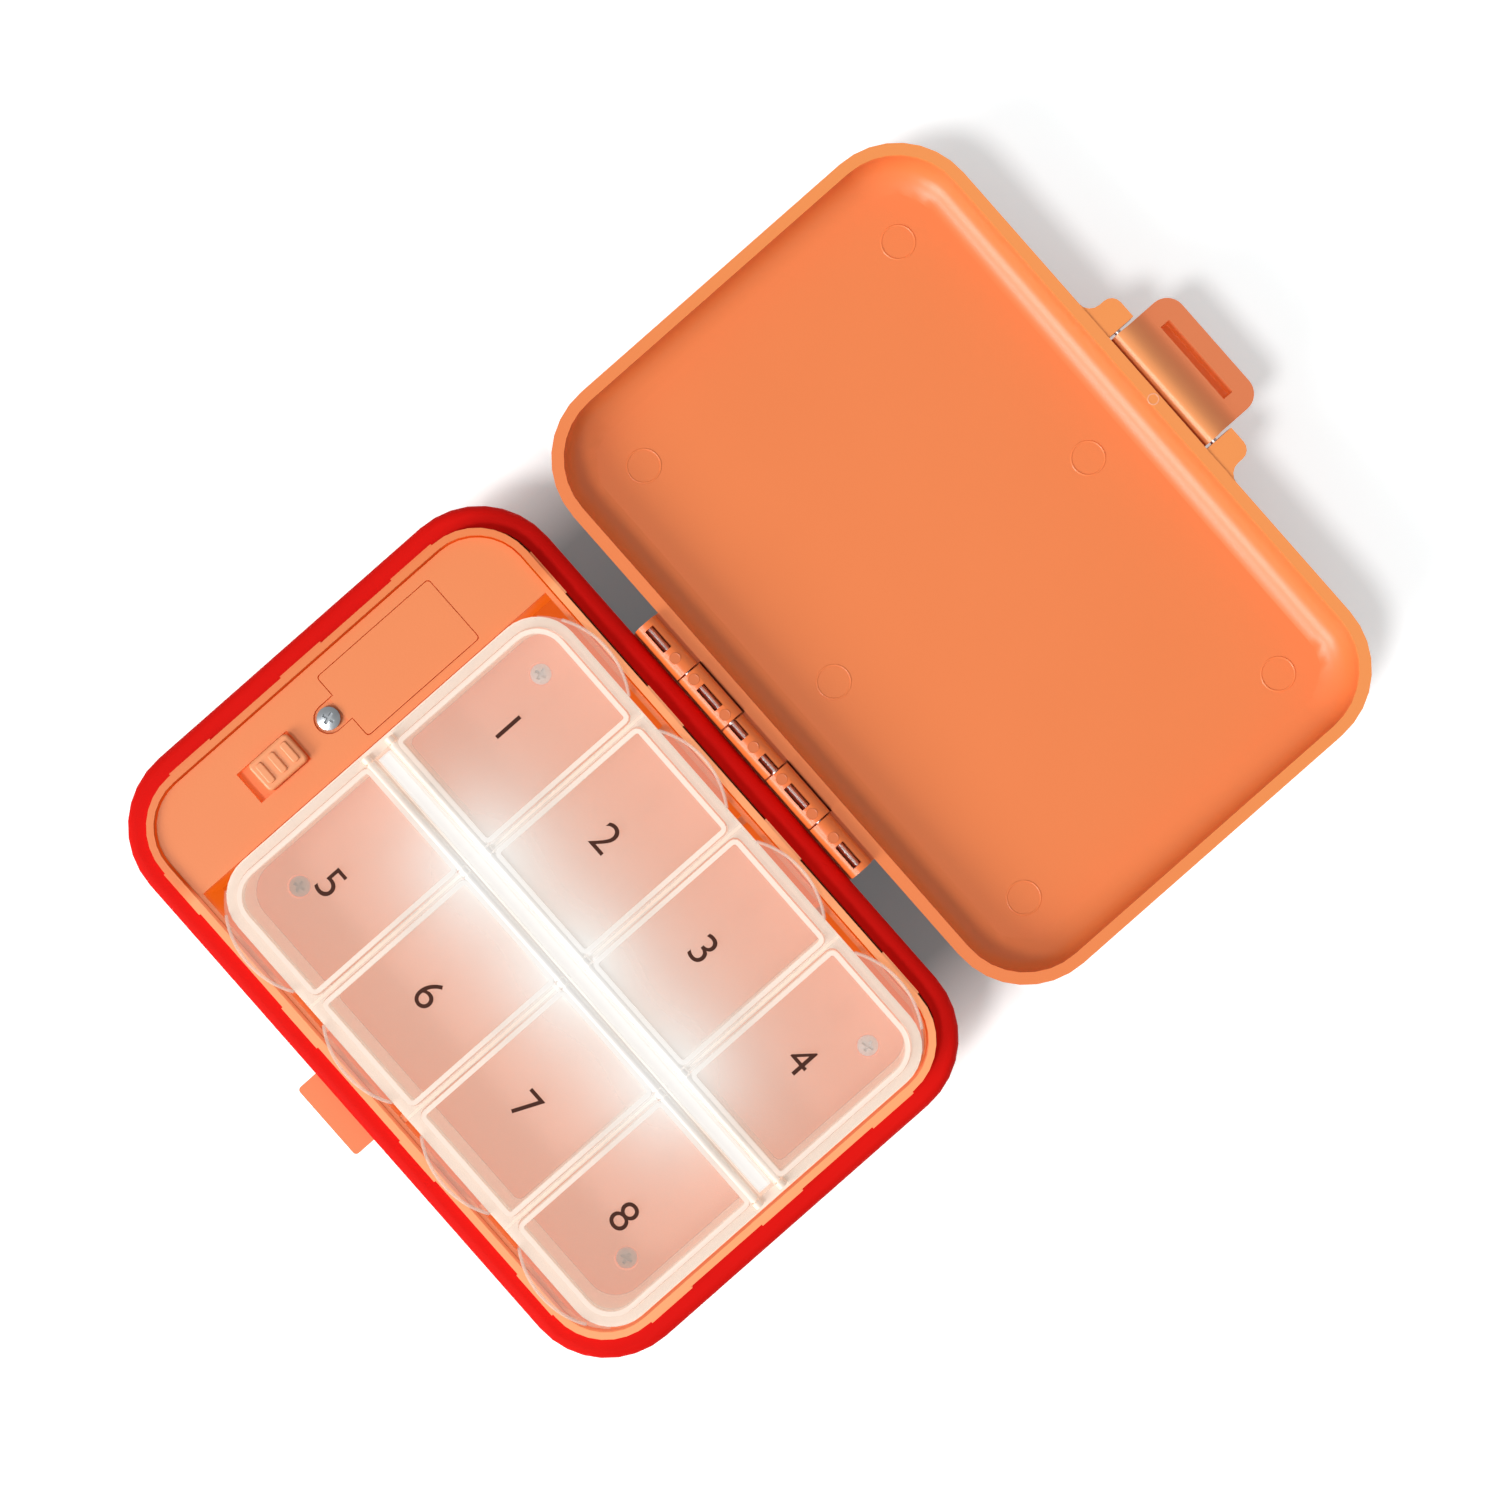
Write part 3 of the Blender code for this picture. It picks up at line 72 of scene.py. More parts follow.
# Gap beside the hinge: a painted shadow, where the floor's whitening fades out and the floor is painted darker and
# cooler
gap_shadow_lift = (0.070, 0.098, 0.104)
gap_shadow_colour = (0.35, 0.35, 0.35)
gap_reach = 0.0042
gap_fade = 0.0030
gap_end_share = 0.74

# Lamps: a high one with a crisp shadow, a low wide one and the sky
sky_strength = 0.41
lamp_azimuth = 180.0
high_lamp_elevation = 61.0
high_lamp_spread = 12.0
high_lamp_share = 0.30
low_lamp_elevation = 30.0
low_lamp_spread = 28.0
low_lamp_share = 0.31

# Smoothing
weld_distance = 0.000002
crease_angle = 32.0

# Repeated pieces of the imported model
diode_count = 3
frame_screw_count = 4
rows_per_side = 4

# Flip lids: barrel, plate and half-moon tab
flip_barrel_radius = 0.00075
plate_thickness = 0.0009
plate_edge_inset = 0.0003
plate_corner_radius = 0.0073
barrel_zone = 0.0036
tab_radius = 0.0153
tab_edge_radius = 0.00028
tab_edge_inset = 0.00012
tab_steps = 28
tube_sides = 10

# Numerals on the flip lids
numeral_height = 0.0053
numeral_cap_share = 0.70
numeral_near_x = 0.0180
numeral_far_x = -0.0203
numeral_shift_y = 0.0009
numeral_thickness = 0.00003
numeral_lift = 0.00001
numeral_weight_share = -0.004
numeral_turn = -90.0

# Marks left by the mould: in the lid's floor, on the hinge knuckles and on the lid's rim
lid_near_gap = 0.00285
lid_middle_shift = 0.0005
lid_roof = 0.0019
lid_mark_radius = 0.0030
lid_mark_line = 0.00034
lid_mark_height = 0.00010
lid_mark_reach = Vector((0.0282, 0.0479))
lid_mark_shift_y = -0.0007
knuckle_mark_radius = 0.0010
knuckle_mark_line = 0.00022
knuckle_mark_height = 0.00005
knuckle_mark_fill = 0.00002
knuckle_mark_sink = -0.00012
knuckle_over_pin = 0.0016
knuckle_mark_y = {"lid": (0.0193, 0.0, -0.0197), "base": (0.0147, 0.0070, -0.0070, -0.0145)}
gate_mark_radius = 0.0010
gate_mark_inset = 0.0012
gate_mark_y = -0.0005
mark_slope_share = 0.25
mark_sides = 64

# Latch: the hollow curve from its barrel down to its plate
latch_plate_drop = 0.0004
latch_curve_length = 0.0056
latch_curve_side_gap = 0.00004
latch_curve_sink = 0.0002
latch_curve_steps = 24

# Grain of the plastics and brushing of the metals: size, depth and how strongly it shows
grain_size = 0.00045
grain_depth = 0.000012
plastic_grain_detail = 4.0
plastic_grain_strength = 0.8
fine_grain_strength = 0.4
rubber_grain_size = 0.00025
rubber_grain_depth = 0.00002
rubber_grain_detail = 3.0
rubber_grain_strength = 0.7
brush_size = 0.00020
brush_depth = 0.000002
brush_strength = 0.6

# Blotches: their size, and the dark tone as a share of the light one
blotch_size = 0.030
metal_blotch_size = 0.003
metal_tone_share = 0.85
screw_tone_share = 0.40
small_blotch_size = 0.006
plain_tone_share = 0.9

# Roughness from the smoothest to the roughest grain, and gloss
plastic_roughness = (0.30, 0.42)
plastic_gloss = 0.58
frosted_roughness = (0.24, 0.36)
rubber_roughness = 0.60
rubber_gloss = 0.07
metal_roughness_step = 0.12
plain_gloss = 0.5
ink_gloss = 0.1

# Colours: the two tones of each plastic, then single colours
shell_tones = ((0.90, 0.235, 0.068), (0.87, 0.222, 0.062))
deck_tones = ((0.92, 0.270, 0.092), (0.89, 0.250, 0.082))
# The knob's lighter, yellower tones are a painted sheen and painted light through the thin knob
knob_sheen_tones = ((0.94, 0.350, 0.150), (0.92, 0.330, 0.140))
# The latch's darker tones are painted shade of a plate tilted away from the lamps
latch_shade_tones = ((0.76, 0.210, 0.076), (0.74, 0.200, 0.072))
# The knuckle marks' darker tones are painted shade of a shallow recess
knuckle_mark_shade_tones = ((0.76, 0.180, 0.052), (0.73, 0.170, 0.048))
gate_mark_tones = ((0.95, 0.42, 0.24), (0.93, 0.40, 0.22))
rubber_tones = ((0.68, 0.004, 0.003), (0.75, 0.008, 0.004))
haze_tones = ((0.75, 0.74, 0.66), (0.72, 0.73, 0.69))
# The knuckles' darker, deeper orange is painted shade
knuckle_shade_colour = (0.88, 0.190, 0.040)
# The pocket's darker orange is painted shade deep under the tray
pocket_shade_colour = (0.52, 0.090, 0.010)
# The lid rim's lighter, yellower orange is painted light through its thin wall
lid_rim_light_colour = (0.92, 0.305, 0.078)
# The lighter orange on the latch barrel's top is a painted highlight
latch_highlight_colour = (0.96, 0.350, 0.120)
flip_rim_colour = (0.95, 0.84, 0.75)
tray_rim_colour = (0.96, 0.80, 0.68)
# The tab edges' pale colour is partly the frosted edge's own and partly a painted highlight
tab_edge_highlight_colour = (0.98, 0.82, 0.72)
ink_colour = (0.075, 0.026, 0.017)
steel_colour = (0.80, 0.78, 0.76)
zinc_colour = (0.74, 0.78, 0.82)
dull_zinc_colour = (0.90, 0.88, 0.90)
contact_colour = (0.78, 0.68, 0.45)
board_colour = (0.03, 0.22, 0.08)
diode_colour = (1.0, 0.96, 0.88)
housing_colour = (0.04, 0.04, 0.04)
wire_colour = (0.60, 0.03, 0.03)

# How much of a face's view the frosted plastic takes
pane_alpha = 0.12
flip_rim_alpha = 0.64
tray_rim_alpha = 0.80
tab_edge_alpha = 0.34

# Light inside the case: its fall-off, and how panes, rims, bar and diodes look in it
lamp_reach = 0.0135
lamp_fall = 1.8
bar_reach = 0.0028
bar_glow_share = 0.8
lit_colour = (0.55, 0.53, 0.505)
lit_glow = (1.0, 0.97, 0.94)
lit_strength = 0.40
rim_glow = (1.0, 0.86, 0.72)
rim_strength = 0.14
bar_strength = 0.50
diode_strength = 1.5

# Light that shows in the orange plastic: pocket, lip, seams and the latch's slot
pocket_top = 0.0208
pocket_blend = 0.0010
wall_strength = 0.36
wall_glow = (1.0, 0.21, 0.008)
floor_strength = 0.56
floor_glow = (1.0, 0.45, 0.28)
lit_lip_reach = 0.0402
lit_lip_fade = 0.0040
lip_strength = 0.22
lip_glow = (1.0, 0.72, 0.38)
seam_depth = 0.0002
seam_strength = 0.14
slot_strength = 0.16
latch_glow_drop = 0.0014

# Panes, thin walls and hinge knuckles, where a piece's finish changes: painted light on the lid's thin rim,
# painted shade on the knuckles
panes_in_line = 2
tray_floor_thickness = 0.0011
level_blend = 0.0002
plate_blend_start = level_blend / 4
thin_wall_depth = 0.0010
knuckle_reach = 0.0026

UP = Vector((0, 0, 1))


class Recipe:
    """A node material, written step by step."""

    def __init__(self, name):
        self.material = bpy.data.materials.new(name)
        self.material.use_nodes = True
        self.nodes = self.material.node_tree.nodes
        self.links = self.material.node_tree.links
        self.shader = self.nodes["Principled BSDF"]

    def node(self, kind, **settings):
        made = self.nodes.new(kind)
        for name, value in settings.items():
            setattr(made, name, value)
        return made

    def give(self, socket, value):
        """Link a socket's value, or set it; a colour is given by its three shares."""
        if isinstance(value, bpy.types.NodeSocket):
            self.links.new(value, socket)
        elif socket.type == "RGBA":
            socket.default_value = (*value, 1)
        else:
            socket.default_value = value

    def math(self, operation, first, second=0.0):
        made = self.node("ShaderNodeMath", operation=operation)
        self.give(made.inputs[0], first)
        self.give(made.inputs[1], second)
        return made.outputs[0]

    def place(self):
        return self.node("ShaderNodeTexCoord").outputs["Object"]

    def parts(self, vector):
        split = self.node("ShaderNodeSeparateXYZ")
        self.give(split.inputs[0], vector)
        return split.outputs

    def noise(self, size, detail=2.0):
        made = self.node("ShaderNodeTexNoise")
        self.give(made.inputs["Vector"], self.place())
        self.give(made.inputs["Scale"], 1 / size)
        self.give(made.inputs["Detail"], detail)
        return made.outputs["Fac"]

    def between(self, share, low, high):
        """A colour between two, by a share from 0 to 1."""
        made = self.node("ShaderNodeMix", data_type="RGBA")
        self.give(made.inputs["Factor"], share)
        # Inputs 6 and 7 are the node's two colours, and output 2 is the mixed one
        self.give(made.inputs[6], low)
        self.give(made.inputs[7], high)
        return made.outputs[2]

    def scaled(self, value, from_low, from_high, to_low=0.0, to_high=1.0):
        made = self.node("ShaderNodeMapRange")
        self.give(made.inputs["Value"], value)
        self.give(made.inputs["From Min"], from_low)
        self.give(made.inputs["From Max"], from_high)
        self.give(made.inputs["To Min"], to_low)
        self.give(made.inputs["To Max"], to_high)
        return made.outputs["Result"]

    def bump(self, height, depth, strength=1.0):
        made = self.node("ShaderNodeBump")
        self.give(made.inputs["Height"], height)
        self.give(made.inputs["Distance"], depth)
        self.give(made.inputs["Strength"], strength)
        self.give(self.shader.inputs["Normal"], made.outputs["Normal"])

    def set(self, name, value):
        self.give(self.shader.inputs[name], value)


def joint_place(name):
    """A point on a joint's axis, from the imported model."""
    return next(Vector(joint["pos_m"]) for joint in frame["joints"] if joint["name"] == name)


def rim_z():
    """The level where the lid's rim lands on the seal."""
    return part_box("seal_band")[1].z


def lid_middle_x():
    """Middle of the open lid: nearly mirrored from the base's middle over the hinge pin."""
    return 2 * joint_place("lid_hinge").x - lid_middle_shift


def lid_far_x():
    """Outside of the lid's wall at the latch."""
    return 2 * lid_middle_x() - joint_place("lid_hinge").x - lid_near_gap


def lamp_points():
    """Middle of each light-emitting diode, from the battery deck's side on."""
    points = []
    for number in range(1, diode_count + 1):
        low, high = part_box(f"led_{number}")
        points.append((low + high) / 2)
    return points


def row_centre(row):
    """Middle of a compartment row along Y: the diodes stand under the walls between the rows."""
    first, second = lamp_points()[:2]
    pitch = first.y - second.y
    return first.y + pitch / 2 - row * pitch


def plate_levels():
    """Underside and top of the flip lids' plates.

    The underside is level with the lowest line of the lids' barrels.
    """
    low = joint_place("flip_hinge_1").z - flip_barrel_radius
    return low, low + plate_thickness


def latch_plate_top():
    """Level of the latch's plate, which lies a little below its pin."""
    return joint_place("latch_hinge").z - latch_plate_drop


def flip_lids():
    """Number, side and row of each flip lid: 1 to 4 on the hinge's side, 5 to 8 across."""
    places = [(side, row) for side in (1, -1) for row in range(rows_per_side)]
    return [(number, side, row) for number, (side, row) in enumerate(places, start=1)]


def glow(recipe):
    """How far the lights inside whiten a point, from 0 to 1: round each diode and along the bar."""
    x, y, _ = recipe.parts(recipe.place())
    across = recipe.math("MULTIPLY", x, x)
    total = 0.0
    for point in lamp_points():
        beside = recipe.math("SUBTRACT", y, point.y)
        squares = recipe.math("ADD", across, recipe.math("MULTIPLY", beside, beside))
        distance = recipe.math("SQRT", squares)
        steep = recipe.math("POWER", recipe.math("DIVIDE", distance, lamp_reach), lamp_fall)
        total = recipe.math("ADD", total, recipe.math("EXPONENT", recipe.math("MULTIPLY", steep, -1.0)))
    low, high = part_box("light_bar")
    from_bar = recipe.math("DIVIDE", recipe.math("ABSOLUTE", x), -bar_reach)
    within = recipe.math("MULTIPLY", recipe.scaled(y, low.y, low.y + lamp_reach),
                         recipe.scaled(y, high.y, high.y - lamp_reach))
    along_bar = recipe.math("MULTIPLY", recipe.math("EXPONENT", from_bar), within)
    along_bar = recipe.math("MULTIPLY", along_bar, bar_glow_share)
    return recipe.math("MINIMUM", recipe.math("MAXIMUM", total, along_bar), 1.0)


def near_rim_level(recipe):
    """Thin walls, from 0 a little below the rim's level to 1 at it."""
    z = recipe.parts(recipe.place())[2]
    return recipe.scaled(z, rim_z() - thin_wall_depth, rim_z() - level_blend)


def lit_lid_rim(recipe):
    """The lid's rim, painted lighter and yellower as light through its thin wall, more so towards the latch, where
    the lamps strike it more.
    """
    pin_x = joint_place("lid_hinge").x
    x = recipe.parts(recipe.place())[0]
    across = recipe.scaled(x, pin_x + lid_near_gap, lid_far_x())
    return recipe.math("MULTIPLY", near_rim_level(recipe), across)


def near_hinge_pin(recipe):
    """The hinge knuckles, which lie within a little of the pin and are painted a darker, deeper orange as shade.
    """
    x = recipe.parts(recipe.place())[0]
    from_pin = recipe.math("ABSOLUTE", recipe.math("SUBTRACT", x, joint_place("lid_hinge").x))
    return recipe.scaled(from_pin, knuckle_reach, knuckle_reach - level_blend)


def in_pocket(recipe):
    """The pocket's walls and floor, from a little below the deck down, where a darker orange is painted as shade
    under the tray.
    """
    z = recipe.parts(recipe.place())[2]
    return recipe.scaled(z, pocket_top, pocket_top - pocket_blend)


def up_the_latch(recipe):
    """Share of the painted highlight, from 0 on the latch's plate to 1 on top of its barrel."""
    z = recipe.parts(recipe.place())[2]
    return recipe.scaled(z, latch_plate_top(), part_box("latch")[1].z)


def under_tray(recipe):
    """The part of the pocket's floor that the organizer's round-cornered tray covers."""
    low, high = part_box("organizer_tray")
    x, y, z = recipe.parts(recipe.place())
    total = 0.0
    for place, middle, half in ((x, (low.x + high.x) / 2, (high.x - low.x) / 2),
                                (y, (low.y + high.y) / 2, (high.y - low.y) / 2)):
        away = recipe.math("ABSOLUTE", recipe.math("SUBTRACT", place, middle))
        beyond = recipe.math("MAXIMUM", recipe.math("SUBTRACT", away, half - plate_corner_radius), 0.0)
        total = recipe.math("ADD", total, recipe.math("MULTIPLY", beyond, beyond))
    covered = recipe.scaled(recipe.math("SQRT", total), plate_corner_radius - 2 * level_blend,
                            plate_corner_radius - 4 * level_blend)
    return recipe.math("MULTIPLY", covered, recipe.scaled(z, low.z + level_blend, low.z))


def pocket_light(recipe):
    """Colour and strength of the light on the pocket's walls and floor, and in the deck's seams."""
    deck_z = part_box("inner_frame")[1].z
    z = recipe.parts(recipe.place())[2]
    seam = recipe.scaled(z, deck_z - seam_depth, deck_z - 2 * seam_depth, to_high=seam_strength)
    deep = recipe.math("MULTIPLY", in_pocket(recipe), wall_strength)
    covered = under_tray(recipe)
    lit_floor = recipe.math("MULTIPLY", covered, floor_strength)
    strength = recipe.math("MAXIMUM", lit_floor, recipe.math("MAXIMUM", seam, deep))
    return recipe.between(covered, wall_glow, floor_glow), strength


def beside_tray(recipe):
    """The lip along the organizer, above the seal, which the light inside reaches."""
    tray_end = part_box("organizer_tray")[1].y
    x, y, z = recipe.parts(recipe.place())
    within = recipe.scaled(recipe.math("ABSOLUTE", x), lit_lip_reach, lit_lip_reach - level_blend)
    along = recipe.scaled(y, tray_end + lit_lip_fade, tray_end)
    above = recipe.scaled(z, rim_z(), rim_z() + level_blend)
    return recipe.math("MULTIPLY", recipe.math("MULTIPLY", within, along), above)


def lip_light(recipe):
    """Colour and strength of the light on the base's lip and between it and the deck."""
    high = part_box("inner_frame")[1]
    x, y, z = recipe.parts(recipe.place())
    inside_x = recipe.scaled(recipe.math("ABSOLUTE", x), high.x + 2 * seam_depth, high.x + seam_depth)
    inside_y = recipe.scaled(recipe.math("ABSOLUTE", y), high.y + 2 * seam_depth, high.y + seam_depth)
    below = recipe.scaled(z, high.z, high.z - seam_depth)
    inside = recipe.math("MULTIPLY", recipe.math("MULTIPLY", inside_x, inside_y), below)
    lip = beside_tray(recipe)
    strength = recipe.math("MAXIMUM", recipe.math("MULTIPLY", inside, seam_strength),
                           recipe.math("MULTIPLY", lip, lip_strength))
    return recipe.between(lip, wall_glow, lip_glow), strength


def slot_light(recipe):
    """Colour and strength of the light in the latch's slot, below its plate's top."""
    plate_top = latch_plate_top()
    z = recipe.parts(recipe.place())[2]
    below = recipe.scaled(z, plate_top - seam_depth, plate_top - 2 * latch_glow_drop)
    return wall_glow, recipe.math("MULTIPLY", below, slot_strength)


def orange_plastic(name, light, dark, accents=(), light_within=None):
    """Moulded plastic with a fine grain.

    Each accent is a colour and where it stands, and light can show within.
    """
    recipe = Recipe(name)
    colour = recipe.between(recipe.noise(blotch_size), dark, light)
    for accent, where in accents:
        colour = recipe.between(where(recipe), colour, accent)
    recipe.set("Base Color", colour)
    recipe.set("Roughness", recipe.scaled(recipe.noise(grain_size), 0.0, 1.0, *plastic_roughness))
    recipe.set("Specular IOR Level", plastic_gloss)
    recipe.bump(recipe.noise(grain_size, plastic_grain_detail), grain_depth, plastic_grain_strength)
    if light_within:
        glow_colour, strength = light_within(recipe)
        recipe.set("Emission Color", glow_colour)
        recipe.set("Emission Strength", strength)
    return recipe.material


def red_rubber():
    """The seal's soft rubber, nearly without gloss."""
    recipe = Recipe("red_rubber")
    recipe.set("Base Color", recipe.between(recipe.noise(blotch_size), *rubber_tones))
    recipe.set("Roughness", rubber_roughness)
    recipe.set("Specular IOR Level", rubber_gloss)
    recipe.bump(recipe.noise(rubber_grain_size, rubber_grain_detail), rubber_grain_depth,
                rubber_grain_strength)
    return recipe.material


def lid_milky(recipe):
    """Where a flip lid isn't a plain pane: its bead, its skirt and its hinge barrel."""
    plate_low, plate_high = plate_levels()
    x, _, z = recipe.parts(recipe.place())
    bead = recipe.scaled(z, plate_high + plate_blend_start, plate_high + level_blend)
    skirt = recipe.scaled(z, plate_low - plate_blend_start, plate_low - level_blend)
    barrel = recipe.scaled(recipe.math("ABSOLUTE", x), barrel_zone, barrel_zone - level_blend)
    return recipe.math("MAXIMUM", recipe.math("MAXIMUM", bead, skirt), barrel)


def tray_milky(recipe):
    """The tray's walls and flange, all that stands over its floor."""
    floor_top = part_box("organizer_tray")[0].z + tray_floor_thickness
    z = recipe.parts(recipe.place())[2]
    return recipe.scaled(z, floor_top + level_blend, floor_top + 2 * level_blend)


def frosted(name, milky, rim_colour, rim_alpha):
    """Milky see-through plastic: a clearer pane, and denser walls and rims where milky says.

    The light comes through two panes, lid and tray floor, so each pane carries half of the glow and
    each face of a pane half of that. A wall or rim carries all of it.
    """
    recipe = Recipe(name)
    thick = milky(recipe)
    haze = recipe.between(recipe.noise(blotch_size), *haze_tones)
    clear = recipe.scaled(thick, 0.0, 1.0, 1 - pane_alpha, 1 - rim_alpha)
    unlit = recipe.math("POWER", recipe.math("SUBTRACT", 1.0, glow(recipe)),
                        recipe.scaled(thick, 0.0, 1.0, 1 / panes_in_line, 1.0))
    glowing = recipe.math("SUBTRACT", 1.0, unlit)
    face_clear = recipe.math("MULTIPLY", clear, recipe.math("SQRT", unlit))
    recipe.set("Alpha", recipe.math("SUBTRACT", 1.0, face_clear))
    veil = recipe.math("SUBTRACT", 1.0, recipe.math("MULTIPLY", face_clear, face_clear))
    lit = recipe.math("DIVIDE", glowing, veil)
    recipe.set("Base Color", recipe.between(lit, recipe.between(thick, haze, rim_colour), lit_colour))
    recipe.set("Emission Color", recipe.between(lit, rim_glow, lit_glow))
    recipe.set("Emission Strength", recipe.math("MAXIMUM", recipe.math("MULTIPLY", lit, lit_strength),
                                                recipe.math("MULTIPLY", thick, rim_strength)))
    recipe.set("Roughness", recipe.scaled(recipe.noise(grain_size), 0.0, 1.0, *frosted_roughness))
    recipe.bump(recipe.noise(grain_size), grain_depth, fine_grain_strength)
    return recipe.material


def darker(colour, share):
    """A colour's darker tone."""
    return tuple(share * value for value in colour)


def metal(name, colour, roughness, metallic=1.0, tone_share=metal_tone_share, polished=False):
    """Blotched metal, brushed unless it is polished."""
    recipe = Recipe(name)
    recipe.set("Base Color", recipe.between(recipe.noise(metal_blotch_size), colour,
                                            darker(colour, tone_share)))
    recipe.set("Metallic", metallic)
    grain = recipe.noise(metal_blotch_size if polished else brush_size)
    recipe.set("Roughness", recipe.scaled(grain, 0.0, 1.0, roughness, roughness + metal_roughness_step))
    if not polished:
        recipe.bump(recipe.noise(brush_size), brush_depth, brush_strength)
    return recipe.material


def plain(name, colour, roughness, glowing=0.0, alpha=1.0, gloss=plain_gloss):
    """A fine-grained surface of one colour with slight blotches, which can glow or be see-through."""
    recipe = Recipe(name)
    recipe.set("Base Color", recipe.between(recipe.noise(small_blotch_size), colour,
                                            darker(colour, plain_tone_share)))
    recipe.set("Roughness", roughness)
    recipe.set("Specular IOR Level", gloss)
    recipe.set("Alpha", alpha)
    if glowing:
        recipe.set("Emission Color", lit_glow)
        recipe.set("Emission Strength", glowing)
    recipe.bump(recipe.noise(grain_size), grain_depth, fine_grain_strength)
    return recipe.material


def make_camera():
    """A camera that looks straight down and frames the open case as the photograph does."""
    camera = bpy.data.objects.new("camera", bpy.data.cameras.new("camera"))
    camera.location = (camera_x, 0, rim_z() + camera_height)
    camera.rotation_euler = (0, 0, math.radians(camera_turn))
    half_width = picture_pixels / pixels_per_metre / 2
    camera.data.sensor_fit = "HORIZONTAL"
    camera.data.angle = 2 * math.atan(half_width / camera_height)
    bpy.context.scene.collection.objects.link(camera)
    bpy.context.scene.camera = camera


def make_floor():
    """A floor that is white where it is seen and pale where it lights the object, with a painted shadow, darker
    and cooler, in the gap beside the hinge.
    """
    mesh = bpy.data.meshes.new("floor")
    plan = bmesh.new()
    bmesh.ops.create_grid(plan, x_segments=1, y_segments=1, size=floor_size / 2)
    plan.to_mesh(mesh)
    plan.free()
    floor = bpy.data.objects.new("floor", mesh)
    bpy.context.scene.collection.objects.link(floor)
    recipe = Recipe("floor")
    path = recipe.node("ShaderNodeLightPath")
    seen = recipe.math("MAXIMUM", path.outputs["Is Camera Ray"], path.outputs["Is Glossy Ray"])
    seen = recipe.math("MAXIMUM", seen, path.outputs["Is Transmission Ray"])
    x, y, _ = recipe.parts(recipe.place())
    # Painted shadow: less whitening and a darker floor colour in the gap beside the hinge
    from_hinge = recipe.math("ABSOLUTE", recipe.math("SUBTRACT", x, joint_place("lid_hinge").x))
    beside = recipe.scaled(from_hinge, gap_reach, gap_reach + gap_fade)
    beyond = recipe.scaled(recipe.math("ABSOLUTE", y), gap_end_share * cad_high.y, cad_high.y)
    open_floor = recipe.math("MAXIMUM", beside, beyond)
    recipe.set("Base Color", recipe.between(seen, floor_bounce,
                                            recipe.between(open_floor, gap_shadow_colour, white)))
    recipe.set("Roughness", 1.0)
    recipe.set("Specular IOR Level", 0.0)
    recipe.set("Emission Color", recipe.between(open_floor, gap_shadow_lift, floor_lift))
    recipe.set("Emission Strength", seen)
    mesh.materials.append(recipe.material)


def make_lamp(name, elevation, spread, share):
    """A distant lamp that gives a level surface that share of full brightness."""
    lamp = bpy.data.lights.new(name, "SUN")
    lamp.energy = share * math.pi / math.sin(math.radians(elevation))
    lamp.angle = math.radians(spread)
    holder = bpy.data.objects.new(name, lamp)
    holder.rotation_euler = (0, math.radians(90 - elevation), math.radians(lamp_azimuth))
    bpy.context.scene.collection.objects.link(holder)


def make_light():
    """Both lamps and the evenly lit sky."""
    make_lamp("high_lamp", high_lamp_elevation, high_lamp_spread, high_lamp_share)
    make_lamp("low_lamp", low_lamp_elevation, low_lamp_spread, low_lamp_share)
    world = bpy.data.worlds.new("studio")
    world.use_nodes = True
    background = world.node_tree.nodes["Background"]
    background.inputs["Color"].default_value = (*white, 1)
    background.inputs["Strength"].default_value = sky_strength
    bpy.context.scene.world = world


def soften(node):
    """Smooth shading between a node's shallow faces, led by the large ones, with sharp edges kept."""
    for face in node.data.polygons:
        face.use_smooth = True
    weld = node.modifiers.new("weld", "WELD")
    weld.merge_threshold = weld_distance
    split = node.modifiers.new("creases", "EDGE_SPLIT")
    split.split_angle = math.radians(crease_angle)
    node.modifiers.new("large_faces_first", "WEIGHTED_NORMAL")


